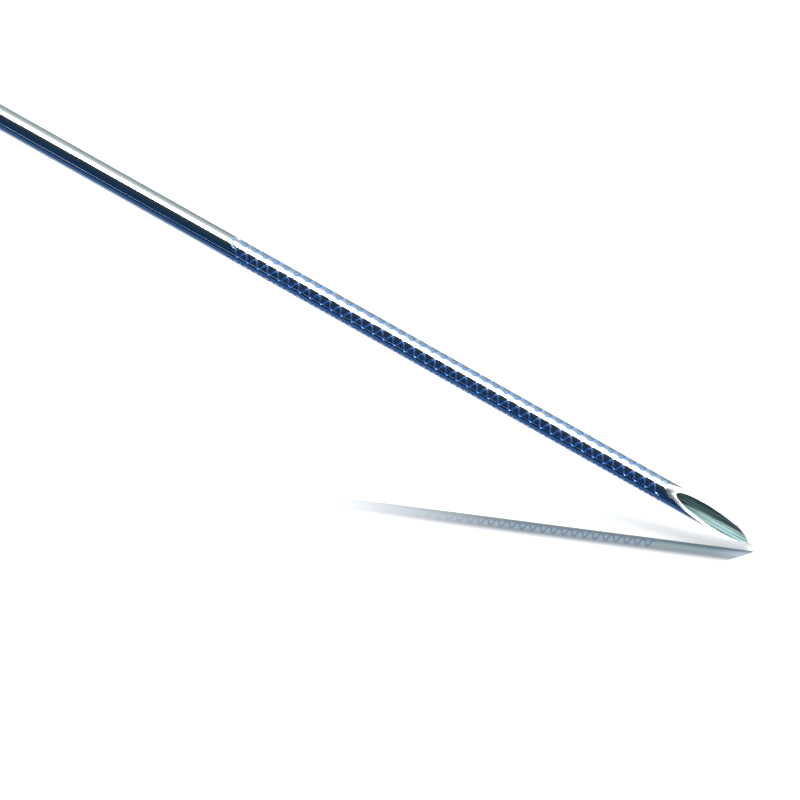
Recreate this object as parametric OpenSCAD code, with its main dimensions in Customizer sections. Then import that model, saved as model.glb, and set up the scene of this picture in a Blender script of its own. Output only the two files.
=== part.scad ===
// Endoscopic ultrasound aspiration needle, with its handle and coiled sheath.
// X runs along the handle and points out of the scope connector, Z is up and
// the origin is the centre of the connector's mouth. All lengths are in mm.

/* [Cannula] */
// Outer diameter of the cannula, 22 gauge
cannula_d = 0.72; // [0.66:0.01:0.8]
// Bore of the cannula
cannula_bore_d = 0.55; // [0.5:0.01:0.58]
// Length of the straight tip section
tip_l = 52; // [48:1:54]
// Length of the needle out of its sheath
reach_l = 40; // [30:1:45]
// Angle between the ground bevel and the axis
bevel_angle = 11.6; // [10:0.1:20]
// Length of the two lancet facets from the point
lancet_l = 0.8; // [0.5:0.05:1.2]
// Length that the facets take off the bevel's point
lancet_back = 0.2; // [0.1:0.01:0.3]
// Turn of the lancet facets about the axis
lancet_turn = 20; // [15:1:50]
// Turn of the bevel about the axis, from straight up
bevel_roll = 13.6; // [0:0.1:30]

/* [Stylet] */
// Diameter of the stylet wire
stylet_d = 0.47; // [0.42:0.01:0.48]
// Distance that the stylet is drawn back from the point
stylet_back = 12; // [8:0.5:14]
// Length of the stylet's end piece
stylet_end_l = 9; // [6:0.5:9]
// Length of the wire in front of the stylet cap
stylet_wire_l = 84; // [60:1:90]
// Diameter of the stylet cap's finger disc
stylet_cap_d = 15; // [12:0.5:18]
// Length of the stylet cap
stylet_cap_l = 12; // [10:0.5:16]

/* [Sheath] */
// Outer diameter of the sheath
sheath_d = 1.8; // [1.6:0.05:2]
// Length of the straight stretch that holds the needle
sheath_straight_l = 60; // [58:1:66]
// Length of the rounded ring at the sheath's end
end_ring_l = 1.6; // [1:0.1:3]
// Slope of the needle to the surface that it lies over
needle_slope = 17.7; // [14:0.1:22]
// Height of the cannula's axis above the surface at the point
point_height = 0.5; // [0.4:0.05:1]
// Place along the handle where the sheath crosses the grip
cross_x = -140; // [-142:1:-139]

/* [Coil] */
// Radius of the coil's outer turn
coil_r = 51; // [50:0.5:52]
// Spacing of the turns, side by side
turn_pitch = 2.6; // [2.4:0.1:3]
// Height from one layer of turns to the next
layer_pitch = 2.4; // [2.3:0.1:2.6]
// Number of turns
turns = 3; // [3]
// Width of the clip along the turns
clip_w = 9; // [6:0.5:14]
// Length of the clip's finger tab
clip_tab_l = 17; // [12:0.5:20]
// Thickness of the clip's wall
clip_wall = 1.2; // [0.9:0.1:1.6]

/* [Scope connector] */
// Diameter of the Luer cone at its tip
cone_tip_d = 3.96; // [3.9:0.01:4.02]
// Length of the Luer cone
cone_l = 7.5; // [7:0.1:8.5]
// Distance that the cone stands out of the collar
cone_proud = 2.1; // [1.5:0.1:2.5]
// Outer diameter of the locking collar
collar_d = 14; // [12:0.5:16]
// Inner diameter of the locking collar
collar_bore_d = 8; // [7.8:0.05:8.4]
// Length of the locking collar
collar_l = 10.9; // [10:0.1:13]
// Length of the connector behind the collar
connector_l = 13; // [10:0.5:16]

/* [Sheath adjuster] */
// Outer diameter of the adjuster sleeve
sleeve_d = 18; // [17:0.5:20]
// Length of the adjuster sleeve
sleeve_l = 58; // [56:1:59]
// Travel of the adjuster
adjust_travel = 40; // [30:1:40]
// Outer diameter of the fixed barrel
barrel_d = 14; // [13:0.5:15]
// Bore of the fixed barrel
barrel_bore_d = 10.8; // [10.4:0.1:11]
// Length of barrel that stays inside the sleeve
barrel_in_l = 13; // [10:0.5:13]

/* [Grip] */
// Length of the grip shells
grip_l = 76; // [72:1:82]
// Diameter of the grip's front, where the sheath lies over it
grip_front_d = 24; // [23:0.5:25]
// Largest diameter of the grip
grip_d = 28; // [27.5:0.5:30]
// Diameter of the grip's waist
grip_waist_d = 24.5; // [23.5:0.5:26]
// Thickness of the grip's wall
grip_wall = 2; // [1.6:0.1:2.4]
// Length of the grip's front ring
front_ring_l = 9; // [7:0.5:10]
// Diameter of the bush that guides the stem
bush_d = 17; // [15:0.5:18]
// Length of the bush inside the grip
bush_l = 14; // [10:0.5:16]
// Thickness of the bush's flange
flange_t = 2.4; // [2:0.1:4]

/* [Stem and stop] */
// Diameter of the graduated stem
stem_d = 9.2; // [8.8:0.1:9.6]
// Width of the bore through the stem
stem_bore_d = 3; // [2.8:0.1:3.4]
// Length of stem showing between the stop and the plunger
stem_show = 40; // [36:1:44]
// Height of the flat face that carries the scale
scale_flat = 3.9; // [3.7:0.1:4.2]
// Outer diameter of the stop ring
stop_d = 22; // [20:0.5:24]
// Length of the stop ring
stop_l = 11; // [10:0.5:13]

/* [Plunger] */
// Length of the plunger shells
plunger_l = 46; // [44:1:52]
// Largest diameter of the plunger
plunger_d = 27; // [25:0.5:28]
// Diameter of the plunger's waist
plunger_waist_d = 20; // [19:0.5:22]
// Thickness of the plunger's wall
plunger_wall = 2; // [1.6:0.1:2.4]
// Length of the hub behind the plunger
hub_l = 13; // [11:0.5:16]
// Diameter of the hub's barrel
hub_d = 6.4; // [6:0.1:6.8]
// Diameter across the hub's locking lugs
lug_d = 7.8; // [7.6:0.05:8]
// Diameter of the hub's socket at its mouth
socket_d = 4.3; // [4.27:0.01:4.32]

/* [Thumbscrews] */
// Diameter of a thumbscrew's knob
knob_d = 13; // [11:0.5:14]
// Length of a thumbscrew's knob
knob_l = 11; // [9:0.5:13]
// Diameter of a thumbscrew's shank
shank_d = 4; // [3.5:0.1:4.5]
// Distance from the handle's axis to the outside of a knob
knob_reach = 28; // [27:0.5:29]

/* [Hidden] */
$fn = 48;

// Clearances and overruns
run_gap = 0.06;     // a piece that slides or turns in another
slide_gap = 0.09;   // the long thin tubes inside each other
face_gap = 0.25;    // two faces that stop against each other
cut = 1;            // what a cut runs past the piece
eps = 0.01;

// Places along the handle, from the connector's mouth backwards
collar_x1 = -cone_proud;
collar_x0 = collar_x1 - collar_l;
lip_l = 2.8;
thread_x0 = collar_x0 + lip_l + face_gap;
connector_x0 = collar_x0 - connector_l;
plug_l = 4;
sleeve_x1 = connector_x0;
sleeve_x0 = sleeve_x1 - sleeve_l;
lock_inset = 1.5;
lock_x = sleeve_x0 + knob_d / 2 + lock_inset;
barrel_x1 = sleeve_x0 + barrel_in_l;
sleeve_gap = 2;
grip_x1 = sleeve_x0 - adjust_travel - sleeve_gap;
grip_x0 = grip_x1 - grip_l;
barrel_hold_l = 18;
barrel_x0 = grip_x1 - barrel_hold_l;
bush_x0 = grip_x0 - flange_t;
stop_x1 = bush_x0 - face_gap;
stop_x0 = stop_x1 - stop_l;
plunger_x1 = stop_x0 - stem_show;
plunger_x0 = plunger_x1 - plunger_l;
hub_x0 = plunger_x0 - hub_l;
stem_lead = 4;
stem_x1 = barrel_x0 + stem_lead;
stem_inset = 12;
stem_x0 = plunger_x0 + stem_inset;
anchor_inset = 6;
anchor_x1 = barrel_x1 - anchor_inset;
anchor_l = 10;
anchor_x0 = anchor_x1 - anchor_l;
anchor_mid = anchor_x0 + anchor_l / 2;
guide_step = 1;
guide_l = 52;
guide_x1 = anchor_mid - guide_step;

// Radii that follow from the sizes above
shaft_wall = 0.4;
guide_wall = 0.35;
sheath_room = 0.3;
collar_neck_step = 0.95;
cannula_r = cannula_d / 2;
cannula_bore_r = cannula_bore_d / 2;
sheath_r = sheath_d / 2;
sheath_bore_r = cannula_r + slide_gap;
barrel_r = barrel_d / 2;
barrel_bore_r = barrel_bore_d / 2;
stem_r = stem_d / 2;
shaft_bore_r = stylet_d / 2 + slide_gap;
shaft_r = shaft_bore_r + shaft_wall;
guide_bore_r = shaft_r + slide_gap;
guide_r = guide_bore_r + guide_wall;
connector_bore_r = sheath_r + sheath_room;
collar_neck_r = collar_bore_d / 2 - collar_neck_step;
grip_cavity_r = grip_front_d / 2 - grip_wall;
plunger_cavity_r = plunger_waist_d / 2 - plunger_wall;
floor_z = -grip_d / 2;

// The needle's own line: it leaves the sheath over the grip and comes down
// to the surface in front of it. T is its point, and n counts back from T.
T = [cross_x, ((floor_z + point_height) * cos(needle_slope)
    - (grip_front_d / 2 + sheath_r + run_gap)) / sin(needle_slope),
    floor_z + point_height];
function on_needle(n) = T + n * [0, cos(needle_slope), sin(needle_slope)];
module along_needle(n) translate(on_needle(n)) rotate([90 + needle_slope, 0, 0]) children();
sheath_back = reach_l + sheath_straight_l;

// Routes of the sheath where it isn't coiled, points chosen by hand
lead_in = 10;
coil_x = 12;
coil_y = 53;
coil_z = -12.4;
coil_top = coil_y + coil_r;
lead_points = [
    [-20, 0, 0], [-10, 0, 0], [0, 0, 0], [10, 0, 0], [22, 1, -0.5], [36, 5.5, -3],
    [48.5, 15, -6.5], [58.5, 28, -9.5], [64, 44, -12], [64.5, 60, -12.4],
    [60, 75, -12.4], [51, 88, -12.4], [39, 97.5, -12.4], [26, 102.5, -12.4]
];
run_points = [
    [0, 104, -10], [-16, 104, -9.9], [-32, 104, -9.5], [-48, 104, -8.5],
    [-64, 104, -6.5], [-80, 104, -4], [-96, 103, -1], [-111, 98, 2.5],
    [-124, 89, 6.5], [-133.5, 76.5, 11], [-138.5, 62, 15], [-140, 47, 18],
    [-140, 32, 19.5], [-140, 20, 19]
];

// A smooth line through points, and a tube of flat sides swept along a line
function hop(a, b, c, d, t) = 0.5 * ((2 * b) + (c - a) * t
    + (2 * a - 5 * b + 4 * c - d) * t * t + (3 * b - a - 3 * c + d) * t * t * t);
function smooth(p, steps) = [
    for (i = [1:len(p) - 3]) for (k = [0:steps - 1])
        hop(p[i - 1], p[i], p[i + 1], p[i + 2], k / steps),
    p[len(p) - 2]
];
function unit(v) = v / norm(v);
function heading(line, i) = unit(line[min(i + 1, len(line) - 1)] - line[max(i - 1, 0)]);
function ring(line, i, r, sides) =
    let (t = heading(line, i), a = unit(cross(t, [0, 0, 1])), b = cross(a, t))
    [for (k = [0:sides - 1]) line[i] + r * (cos(360 * k / sides) * a + sin(360 * k / sides) * b)];
function walls(n, sides) = [
    for (i = [0:n - 2]) for (k = [0:sides - 1])
        let (p = i * sides + k, q = i * sides + (k + 1) % sides)
        for (f = [[p, q, p + sides], [q, q + sides, p + sides]]) f
];
function ends(n, sides) = concat(
    [for (k = [1:sides - 2]) [0, k + 1, k]],
    [for (k = [1:sides - 2]) [(n - 1) * sides, (n - 1) * sides + k, (n - 1) * sides + k + 1]]
);
module swept(line, r, sides) {
    polyhedron(
        points = [for (i = [0:len(line) - 1]) each ring(line, i, r, sides)],
        faces = concat(walls(len(line), sides), ends(len(line), sides)));
}

// The coil: it winds in for half its turns, climbs and winds out again.
// Its ends run straight for one diameter of the sheath.
loop_rings = 24;
climb = 0.5;
function ease(t) = let (s = min(max(t, 0), 1)) s * s * (3 - 2 * s);
function coil_at(u) =
    let (r = coil_r - turn_pitch * min(u, turns - u), a = 90 + 360 * u)
    [coil_x + r * cos(a), coil_y + r * sin(a),
        coil_z + layer_pitch * ease((u - turns / 2) / climb + 0.5)];
coil_line = concat(
    [coil_at(0) + [sheath_d, 0, 0]],
    [for (i = [0:turns * loop_rings]) coil_at(i / loop_rings)],
    [coil_at(turns) - [sheath_d, 0, 0]]);
lead_line = smooth(concat([lead_points[0] - [lead_in, 0, 0]], lead_points,
    [coil_line[0] + [sheath_d, 0, 0], coil_line[0], coil_at(0)]), 3);
run_line = smooth(concat([coil_at(turns), coil_line[len(coil_line) - 1],
    coil_line[len(coil_line) - 1] - [sheath_d, 0, 0]], run_points,
    [on_needle(sheath_back + sheath_d), on_needle(sheath_back), on_needle(reach_l)]), 3);

// What the routes come to
function length_of(line) = let (d = [for (i = [1:len(line) - 1]) norm(line[i] - line[i - 1])])
    d * [for (x = d) 1];
coil_gap = min([for (i = [0:len(coil_line) - 1]) for (j = [i + 8:1:len(coil_line) - 1])
    norm(coil_line[i] - coil_line[j]) - sheath_d]);
echo(least_gap_in_coil = coil_gap);
echo(sheath_length = length_of(lead_line) + length_of(coil_line) + length_of(run_line)
    + sheath_straight_l - norm(lead_points[0]));

// Plain round forms along the handle. A profile lists [radius, place] pairs.
module x_bar(r, x0, x1) {
    translate([x0, 0, 0]) rotate([0, 90, 0]) cylinder(h = x1 - x0, r = r);
}
module x_cone(r0, r1, x0, x1) {
    translate([x0, 0, 0]) rotate([0, 90, 0]) cylinder(h = x1 - x0, r1 = r0, r2 = r1);
}
module x_tube(r, bore, x0, x1) {
    x_turned([[bore, x0], [r, x0], [r, x1], [bore, x1]]);
}
module x_turned(profile) {
    rotate([0, 90, 0]) rotate_extrude() polygon(profile);
}
module x_torus(r, x, tube_r, sides) {
    translate([x, 0, 0]) rotate([0, 90, 0]) rotate_extrude()
        translate([r, 0]) circle(r = tube_r, $fn = sides);
}
module x_groove(r, x, depth, width) {
    translate([x, 0, 0]) rotate([0, 90, 0]) rotate_extrude()
        translate([r, 0]) square([2 * depth, width], center = true);
}
module x_rib(r, tube_r, x0, x1) {
    translate([x0, 0, r]) rotate([0, 90, 0]) cylinder(h = x1 - x0, r = tube_r, $fn = 24);
}
module y_bar(r, x, y0, y1) {
    translate([x, y0, 0]) rotate([-90, 0, 0]) cylinder(h = y1 - y0, r = r);
}
module y_turned(x, profile) {
    translate([x, 0, 0]) rotate([-90, 0, 0]) rotate_extrude() polygon(profile);
}
module around_x(count, first = 0) {
    for (i = [0:count - 1]) rotate([first + i * 360 / count, 0, 0]) children();
}

// Edges that repeat on the moulded pieces
edge_c = 1;         // chamfer round an end
small_c = 0.6;      // chamfer where the wall is thin
luer_share = 0.03;  // radius lost along a Luer cone, for each length

// Scope connector: the cone, the neck that the collar turns on, and a body
// that steps up to the sleeve, with a plug into it
collar_ribs = 12;
collar_rib_r = 1;
collar_rib_inset = 1.5;
thread_step = 0.35;
thread_r = collar_bore_d / 2 - thread_step;
plug_step = 0.5;
plug_r = barrel_r - plug_step;
body_rim_l = 2;
body_taper_l = 5;
body_step = 1.5;
funnel_w = 3;
module luer_connector() {
    color("white") difference() {
        x_turned([[0, connector_x0 - plug_l], [plug_r, connector_x0 - plug_l],
            [plug_r, connector_x0], [sleeve_d / 2, connector_x0],
            [sleeve_d / 2, connector_x0 + body_rim_l],
            [sleeve_d / 2 - body_step, connector_x0 + body_taper_l],
            [collar_d / 2, collar_x0 - body_step], [collar_d / 2 - edge_c, collar_x0],
            [collar_neck_r, collar_x0], [collar_neck_r, thread_x0], [thread_r, thread_x0],
            [thread_r, -cone_l], [cone_tip_d / 2 + luer_share * cone_l, -cone_l],
            [cone_tip_d / 2, 0], [0, 0]]);
        x_bar(connector_bore_r, connector_x0 - plug_l - cut, cut);
        x_cone(connector_bore_r + funnel_w, connector_bore_r,
            connector_x0 - plug_l - eps, connector_x0);
    }
}

module luer_collar() {
    color("white") union() {
        x_turned([[collar_neck_r + run_gap, collar_x0 + face_gap],
            [collar_d / 2 - 2 * small_c, collar_x0 + face_gap],
            [collar_d / 2 - small_c, collar_x0 + edge_c],
            [collar_d / 2 - small_c, collar_x1 - edge_c],
            [collar_d / 2 - 2 * small_c, collar_x1],
            [collar_bore_d / 2 + small_c, collar_x1], [collar_bore_d / 2, collar_x1 - small_c],
            [collar_bore_d / 2, collar_x0 + lip_l],
            [collar_neck_r + run_gap, collar_x0 + lip_l]]);
        around_x(collar_ribs) x_rib(collar_d / 2 - collar_rib_r, collar_rib_r,
            collar_x0 + collar_rib_inset, collar_x1 - collar_rib_inset);
    }
}

// Sheath adjuster: a sleeve with finger grooves, and a boss for its thumbscrew
sleeve_bore_r = barrel_r + run_gap;
boss_wall = 3;
boss_rise = 3.5;
boss_r = shank_d / 2 + boss_wall;
boss_top = sleeve_d / 2 + boss_rise;
sleeve_grooves = 7;
groove_pitch = 4.2;
groove_r = 1.3;
groove_lift = 0.7;
groove_inset = 12;
sleeve_rim = 1;
sleeve_rim_l = 3;
module adjuster_sleeve() {
    color("white") difference() {
        union() {
            x_turned([[0, sleeve_x0], [sleeve_d / 2, sleeve_x0],
                [sleeve_d / 2 + sleeve_rim, sleeve_x0 + sleeve_rim],
                [sleeve_d / 2 + sleeve_rim, sleeve_x0 + sleeve_rim_l],
                [sleeve_d / 2, sleeve_x0 + sleeve_rim_l + sleeve_rim],
                [sleeve_d / 2, sleeve_x1], [0, sleeve_x1]]);
            y_bar(boss_r, lock_x, 0, boss_top);
        }
        x_bar(sleeve_bore_r, sleeve_x0 - cut, sleeve_x1 + cut);
        y_bar(shank_d / 2 + run_gap, lock_x, 0, boss_top + cut);
        for (i = [0:sleeve_grooves - 1])
            x_torus(sleeve_d / 2 + groove_lift, sleeve_x1 - groove_inset - i * groove_pitch,
                groove_r, 24);
    }
}

// O-rings, and the room that their grooves leave
seal_r = 0.5;
seal_room_share = 1.1;
sleeve_seal_in = 3;
sleeve_seal_x = barrel_x1 - sleeve_seal_in;
sleeve_seal_r = barrel_r + run_gap / 2 - seal_r;
module sleeve_seal() {
    color("dimgray") x_torus(sleeve_seal_r, sleeve_seal_x, seal_r, 24);
}

// Thumbscrews: a lobed knob on a metal shank
lobes = 8;
lobe_r = 1.1;
lobe_inset = 0.8;
knob_body_r = knob_d / 2 - small_c;
knob_crown = 1.5;
knob_crown_in = 2;
knob_neck_l = 1.5;
knob_neck_w = 1.6;
knob_neck_r = shank_d / 2 + knob_neck_w;
knob_cover = 4;
knob_y0 = knob_reach - knob_l;
shank_point = 0.8;
module knob_at(x) {
    color("steelblue") union() {
        y_turned(x, [[shank_d / 2, knob_y0 - knob_neck_l], [knob_neck_r, knob_y0 - knob_neck_l],
            [knob_neck_r, knob_y0], [knob_body_r, knob_y0],
            [knob_body_r, knob_reach - knob_crown],
            [knob_body_r - knob_crown_in, knob_reach], [0, knob_reach],
            [0, knob_reach - knob_cover], [shank_d / 2, knob_reach - knob_cover]]);
        for (i = [0:lobes - 1]) translate([x, 0, 0]) rotate([0, i * 360 / lobes, 0])
            translate([knob_d / 2 - lobe_r, knob_y0 + lobe_inset, 0]) rotate([-90, 0, 0])
                cylinder(h = knob_l - knob_crown - 2 * lobe_inset, r = lobe_r, $fn = 24);
    }
}
module shank_at(x, tip) {
    color("silver") y_turned(x, [[0, tip], [shank_d / 2 - shank_point, tip],
        [shank_d / 2, tip + shank_point], [shank_d / 2, knob_reach - knob_cover],
        [0, knob_reach - knob_cover]]);
}
module sheath_lock_knob() { knob_at(lock_x); }
module sheath_lock_shank() { shank_at(lock_x, barrel_r + run_gap); }

// Fixed barrel with a ringed scale, and the sheath's anchor in it
barrel_marks = 5;
barrel_mark_r = 0.25;
barrel_mark_pitch = (adjust_travel - sleeve_gap) / (barrel_marks - 1);
module front_barrel() {
    color("gainsboro") difference() {
        x_tube(barrel_r, barrel_bore_r, barrel_x0, barrel_x1);
        x_groove(sleeve_seal_r, sleeve_seal_x, 2 * seal_r, 2 * seal_room_share * seal_r);
        for (i = [0:barrel_marks - 1])
            x_torus(barrel_r, sleeve_x0 - sleeve_gap / 2 - i * barrel_mark_pitch,
                barrel_mark_r, 16);
    }
}

// Ring on the barrel that the grip shells hold, so that the barrel can't pull out
retainer_w = 2.4;
retainer_in = 4;
retainer_l = 3;
retainer_r = barrel_r + retainer_w;
retainer_x0 = barrel_x0 + retainer_in;
module barrel_retainer() {
    color("lightgray") x_tube(retainer_r, barrel_r, retainer_x0, retainer_x0 + retainer_l);
}

anchor_snout_l = 5;
anchor_snout_w = 1.2;
anchor_snout_r = guide_r + anchor_snout_w;
module sheath_anchor() {
    color("lightgray") x_turned([[guide_r, anchor_x0 - anchor_snout_l],
        [anchor_snout_r, anchor_x0 - anchor_snout_l], [2 * anchor_snout_r - guide_r, anchor_x0],
        [barrel_bore_r, anchor_x0], [barrel_bore_r, anchor_x1], [sheath_r, anchor_x1],
        [sheath_r, anchor_mid], [guide_bore_r, anchor_mid], [guide_bore_r, guide_x1],
        [guide_r, guide_x1]]);
}
module sheath_root() {
    color("lightsteelblue") x_tube(sheath_r, sheath_bore_r, anchor_mid, lead_points[0][0]);
}
module guide_tube() {
    color("silver") x_tube(guide_r, guide_bore_r, guide_x1 - guide_l, guide_x1);
}

// Grip: two shells between a front ring and the bush of the stem
ring_wall = 1.6;
neck_r = grip_front_d / 2 - ring_wall;
screw_r = 1.2;
screw_wall = 1.4;
screw_tip_z = 5;
screw_head_l = 1.4;
screw_x_in = 25;
grip_seat_z = -4.8;
plunger_seat_z = -3.6;
screw_y = grip_cavity_r - screw_r - edge_c;
screw_places = [for (x = [grip_x1 - screw_x_in, grip_x0 + screw_x_in]) for (s = [-1, 1])
    [x, s * screw_y]];
function grip_swell(t) = grip_waist_d / 2 + (grip_d - grip_waist_d) / 2 * (1 - cos(720 * t)) / 2;
swell_l = 28;
swell_lead_l = 5;
swell_x1 = grip_x1 - swell_l;
swell_first_share = 0.03;
grip_steps = 24;
module grip_outline() {
    x_turned(concat(
        [[0, grip_x1], [neck_r, grip_x1], [neck_r, grip_x1 - front_ring_l],
            [grip_front_d / 2, grip_x1 - front_ring_l],
            [grip_front_d / 2, swell_x1 + swell_lead_l]],
        [for (i = [0:grip_steps]) [grip_swell(i / grip_steps), swell_x1 + (grip_x0 - swell_x1)
            * (swell_first_share + (1 - swell_first_share) * i / grip_steps)]],
        [[0, grip_x0]]));
}
module screw_posts(places, reach) {
    for (p = places) translate([p[0], p[1], 0])
        cylinder(h = reach, r = screw_r + screw_wall, center = true);
}
module screw_holes(places, below, seat_z) {
    for (p = places) translate([p[0], p[1], -below]) {
        cylinder(h = below + screw_tip_z, r = screw_r);
        cylinder(h = below + seat_z, r = 2 * screw_r);
    }
}
module half_block(side, x0, l, reach) {
    translate([x0 - cut, -reach, side > 0 ? 0 : -reach]) cube([l + 2 * cut, 2 * reach, reach]);
}
module grip_half(side) {
    difference() {
        intersection() {
            difference() {
                grip_outline();
                x_bar(barrel_r, barrel_x0 - eps, grip_x1 + cut);
                x_bar(retainer_r, retainer_x0, retainer_x0 + retainer_l);
                difference() {
                    x_bar(grip_cavity_r, grip_x0 + bush_l - edge_c, barrel_x0 + edge_c);
                    screw_posts(screw_places, grip_d);
                }
                x_bar(bush_d / 2, grip_x0 - cut, grip_x0 + bush_l);
            }
            half_block(side, grip_x0, grip_l, grip_d);
        }
        screw_holes(screw_places, grip_d, grip_seat_z);
    }
}
module grip_upper_shell() { color("ghostwhite") grip_half(1); }
module grip_lower_shell() { color("ghostwhite") grip_half(-1); }

module screws_at(places, seat_z) {
    color("silver") for (p = places) translate([p[0], p[1], 0]) difference() {
        rotate_extrude() polygon([[0, seat_z - screw_head_l], [2 * screw_r, seat_z - screw_head_l],
            [2 * screw_r, seat_z], [screw_r, seat_z], [screw_r, screw_tip_z], [0, screw_tip_z]]);
        translate([0, 0, seat_z - screw_head_l - eps])
            cylinder(h = screw_head_l / 2, r = screw_r, $fn = 6);
    }
}
module grip_screws() { screws_at(screw_places, grip_seat_z); }

front_notches = 16;
front_notch_r = 0.9;
front_notch_lift = 1.3;
front_rim = 0.8;
module front_ring() {
    color("steelblue") difference() {
        x_turned([[neck_r, grip_x1 + small_c], [grip_front_d / 2 - small_c, grip_x1 + small_c],
            [grip_front_d / 2 + front_rim, grip_x1 - front_rim],
            [grip_front_d / 2 + front_rim, grip_x1 - front_ring_l + front_rim],
            [grip_front_d / 2, grip_x1 - front_ring_l], [neck_r, grip_x1 - front_ring_l]]);
        around_x(front_notches) x_rib(grip_front_d / 2 + front_notch_lift, front_notch_r,
            grip_x1 - front_ring_l + 2 * front_rim, grip_x1 - 2 * front_rim);
    }
}

// Bush that guides the stem, with an O-ring that holds it where it is left
stem_seal_x = grip_x0 + bush_l / 2;
stem_seal_r = stem_r + run_gap / 2 + seal_r;
module stem_bush() {
    guide = stem_r + run_gap;
    room = seal_room_share * seal_r;
    color("steelblue") x_turned([[guide, bush_x0], [grip_waist_d / 2 - front_rim, bush_x0],
        [grip_waist_d / 2, bush_x0 + front_rim], [grip_waist_d / 2, grip_x0],
        [bush_d / 2, grip_x0], [bush_d / 2, grip_x0 + bush_l], [guide, grip_x0 + bush_l],
        [guide, stem_seal_x + room], [stem_seal_r + 2 * seal_r, stem_seal_x + room],
        [stem_seal_r + 2 * seal_r, stem_seal_x - room], [guide, stem_seal_x - room]]);
}
module stem_seal() {
    color("dimgray") x_torus(stem_seal_r, stem_seal_x, seal_r, 24);
}

// Graduated stem and its stop. The plunger's shells grip a groove round the stem.
scale_marks = 5;
mark_pitch = 10;
mark_w = 0.4;
mark_depth = 0.2;
scale_lead = 2;
stem_groove_x = plunger_x0 + plunger_l / 2;
stem_groove_depth = 1.2;
stem_groove_l = 4;
module ruler_stem() {
    scale_l = stop_l + stem_show + bush_l + 3 * scale_lead;
    color("white") difference() {
        x_tube(stem_r, stem_bore_d / 2, stem_x0, stem_x1);
        translate([plunger_x1 - scale_lead, -stem_r, scale_flat])
            cube([scale_l, stem_d, stem_r]);
        for (i = [0:scale_marks - 1])
            translate([plunger_x1 + i * mark_pitch, -stem_r, scale_flat - mark_depth])
                cube([mark_w, stem_d, stem_r]);
        x_groove(stem_r, stem_groove_x, stem_groove_depth, stem_groove_l);
    }
}

stop_x = (stop_x0 + stop_x1) / 2;
stop_ribs = 14;
stop_rib_r = 0.9;
stop_rib_inset = 1.5;
stop_rib_rise = 0.5;
stop_boss_w = 2.6;
stop_boss_rise = 2.5;
stop_body_r = stop_d / 2 - stop_rib_rise;
stop_boss_r = shank_d / 2 + stop_boss_w;
stop_boss_top = stop_d / 2 + stop_boss_rise;
module stop_ring() {
    color("steelblue") difference() {
        union() {
            x_turned([[0, stop_x0], [stop_body_r - small_c, stop_x0],
                [stop_body_r, stop_x0 + edge_c], [stop_body_r, stop_x1 - edge_c],
                [stop_body_r - small_c, stop_x1], [0, stop_x1]]);
            around_x(stop_ribs, 180 / stop_ribs) x_rib(stop_d / 2 - stop_rib_r, stop_rib_r,
                stop_x0 + stop_rib_inset, stop_x1 - stop_rib_inset);
            y_bar(stop_boss_r, stop_x, 0, stop_boss_top);
        }
        x_bar(stem_r + run_gap, stop_x0 - cut, stop_x1 + cut);
        y_bar(shank_d / 2 + run_gap, stop_x, 0, stop_boss_top + cut);
    }
}
module stop_lock_knob() { knob_at(stop_x); }
module stop_lock_shank() { shank_at(stop_x, stem_r + run_gap); }

// Plunger: two shells on the stem, with the needle's hub behind
function plunger_swell(t) = plunger_waist_d / 2
    + (plunger_d - plunger_waist_d) / 2 * (1 + cos(360 * t)) / 2;
plunger_steps = 20;
nose_l = 4;
hub_seat_l = 7;
hub_flange_w = 2.4;
hub_flange_t = 2;
hub_flange_r = hub_d / 2 + hub_flange_w;
hub_flange_x1 = plunger_x0 + hub_seat_l - hub_flange_t;
hub_flange_x0 = hub_flange_x1 - hub_flange_t;
plunger_screw_y = stem_r + screw_r + small_c;
plunger_screw_x = stem_groove_x - 2 * nose_l;
plunger_screw_places = [for (s = [-1, 1]) [plunger_screw_x, s * plunger_screw_y]];
stem_grip_l = stem_groove_l - face_gap;
module plunger_outline() {
    x_turned(concat([[0, plunger_x1 - nose_l], [plunger_d / 2 - edge_c, plunger_x1 - nose_l]],
        [for (i = [0:plunger_steps]) [plunger_swell(i / plunger_steps), plunger_x1 - nose_l
            - edge_c - (plunger_l - nose_l - 2 * edge_c) * i / plunger_steps]],
        [[plunger_d / 2 - edge_c, plunger_x0], [0, plunger_x0]]));
}
module plunger_half(side) {
    difference() {
        intersection() {
            difference() {
                plunger_outline();
                difference() {
                    x_bar(stem_r, stem_x0 - eps, plunger_x1);
                    x_groove(stem_r, stem_groove_x, stem_groove_depth - run_gap, stem_grip_l);
                }
                difference() {
                    x_bar(plunger_cavity_r, plunger_x0 + hub_seat_l,
                        plunger_x1 - 2 * nose_l);
                    x_tube(plunger_cavity_r + cut, stem_r - eps, stem_groove_x
                        - stem_grip_l / 2, stem_groove_x + stem_grip_l / 2);
                    screw_posts(plunger_screw_places, plunger_d);
                }
                x_bar(hub_d / 2, plunger_x0 - cut, plunger_x0 + hub_seat_l + eps);
                x_bar(hub_flange_r, hub_flange_x0, hub_flange_x1);
            }
            half_block(side, plunger_x0, plunger_l, plunger_d);
        }
        screw_holes(plunger_screw_places, plunger_d, plunger_seat_z);
    }
}
module plunger_upper_shell() { color("ghostwhite") plunger_half(1); }
module plunger_lower_shell() { color("ghostwhite") plunger_half(-1); }
module plunger_screws() { screws_at(plunger_screw_places, plunger_seat_z); }

module plunger_nose() {
    color("steelblue") x_turned([[stem_r, plunger_x1 - nose_l],
        [plunger_d / 2 - edge_c, plunger_x1 - nose_l],
        [plunger_d / 2 - edge_c, plunger_x1 - 1.5 * edge_c],
        [plunger_d / 2 - 2.5 * edge_c, plunger_x1], [stem_r, plunger_x1]]);
}

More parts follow.
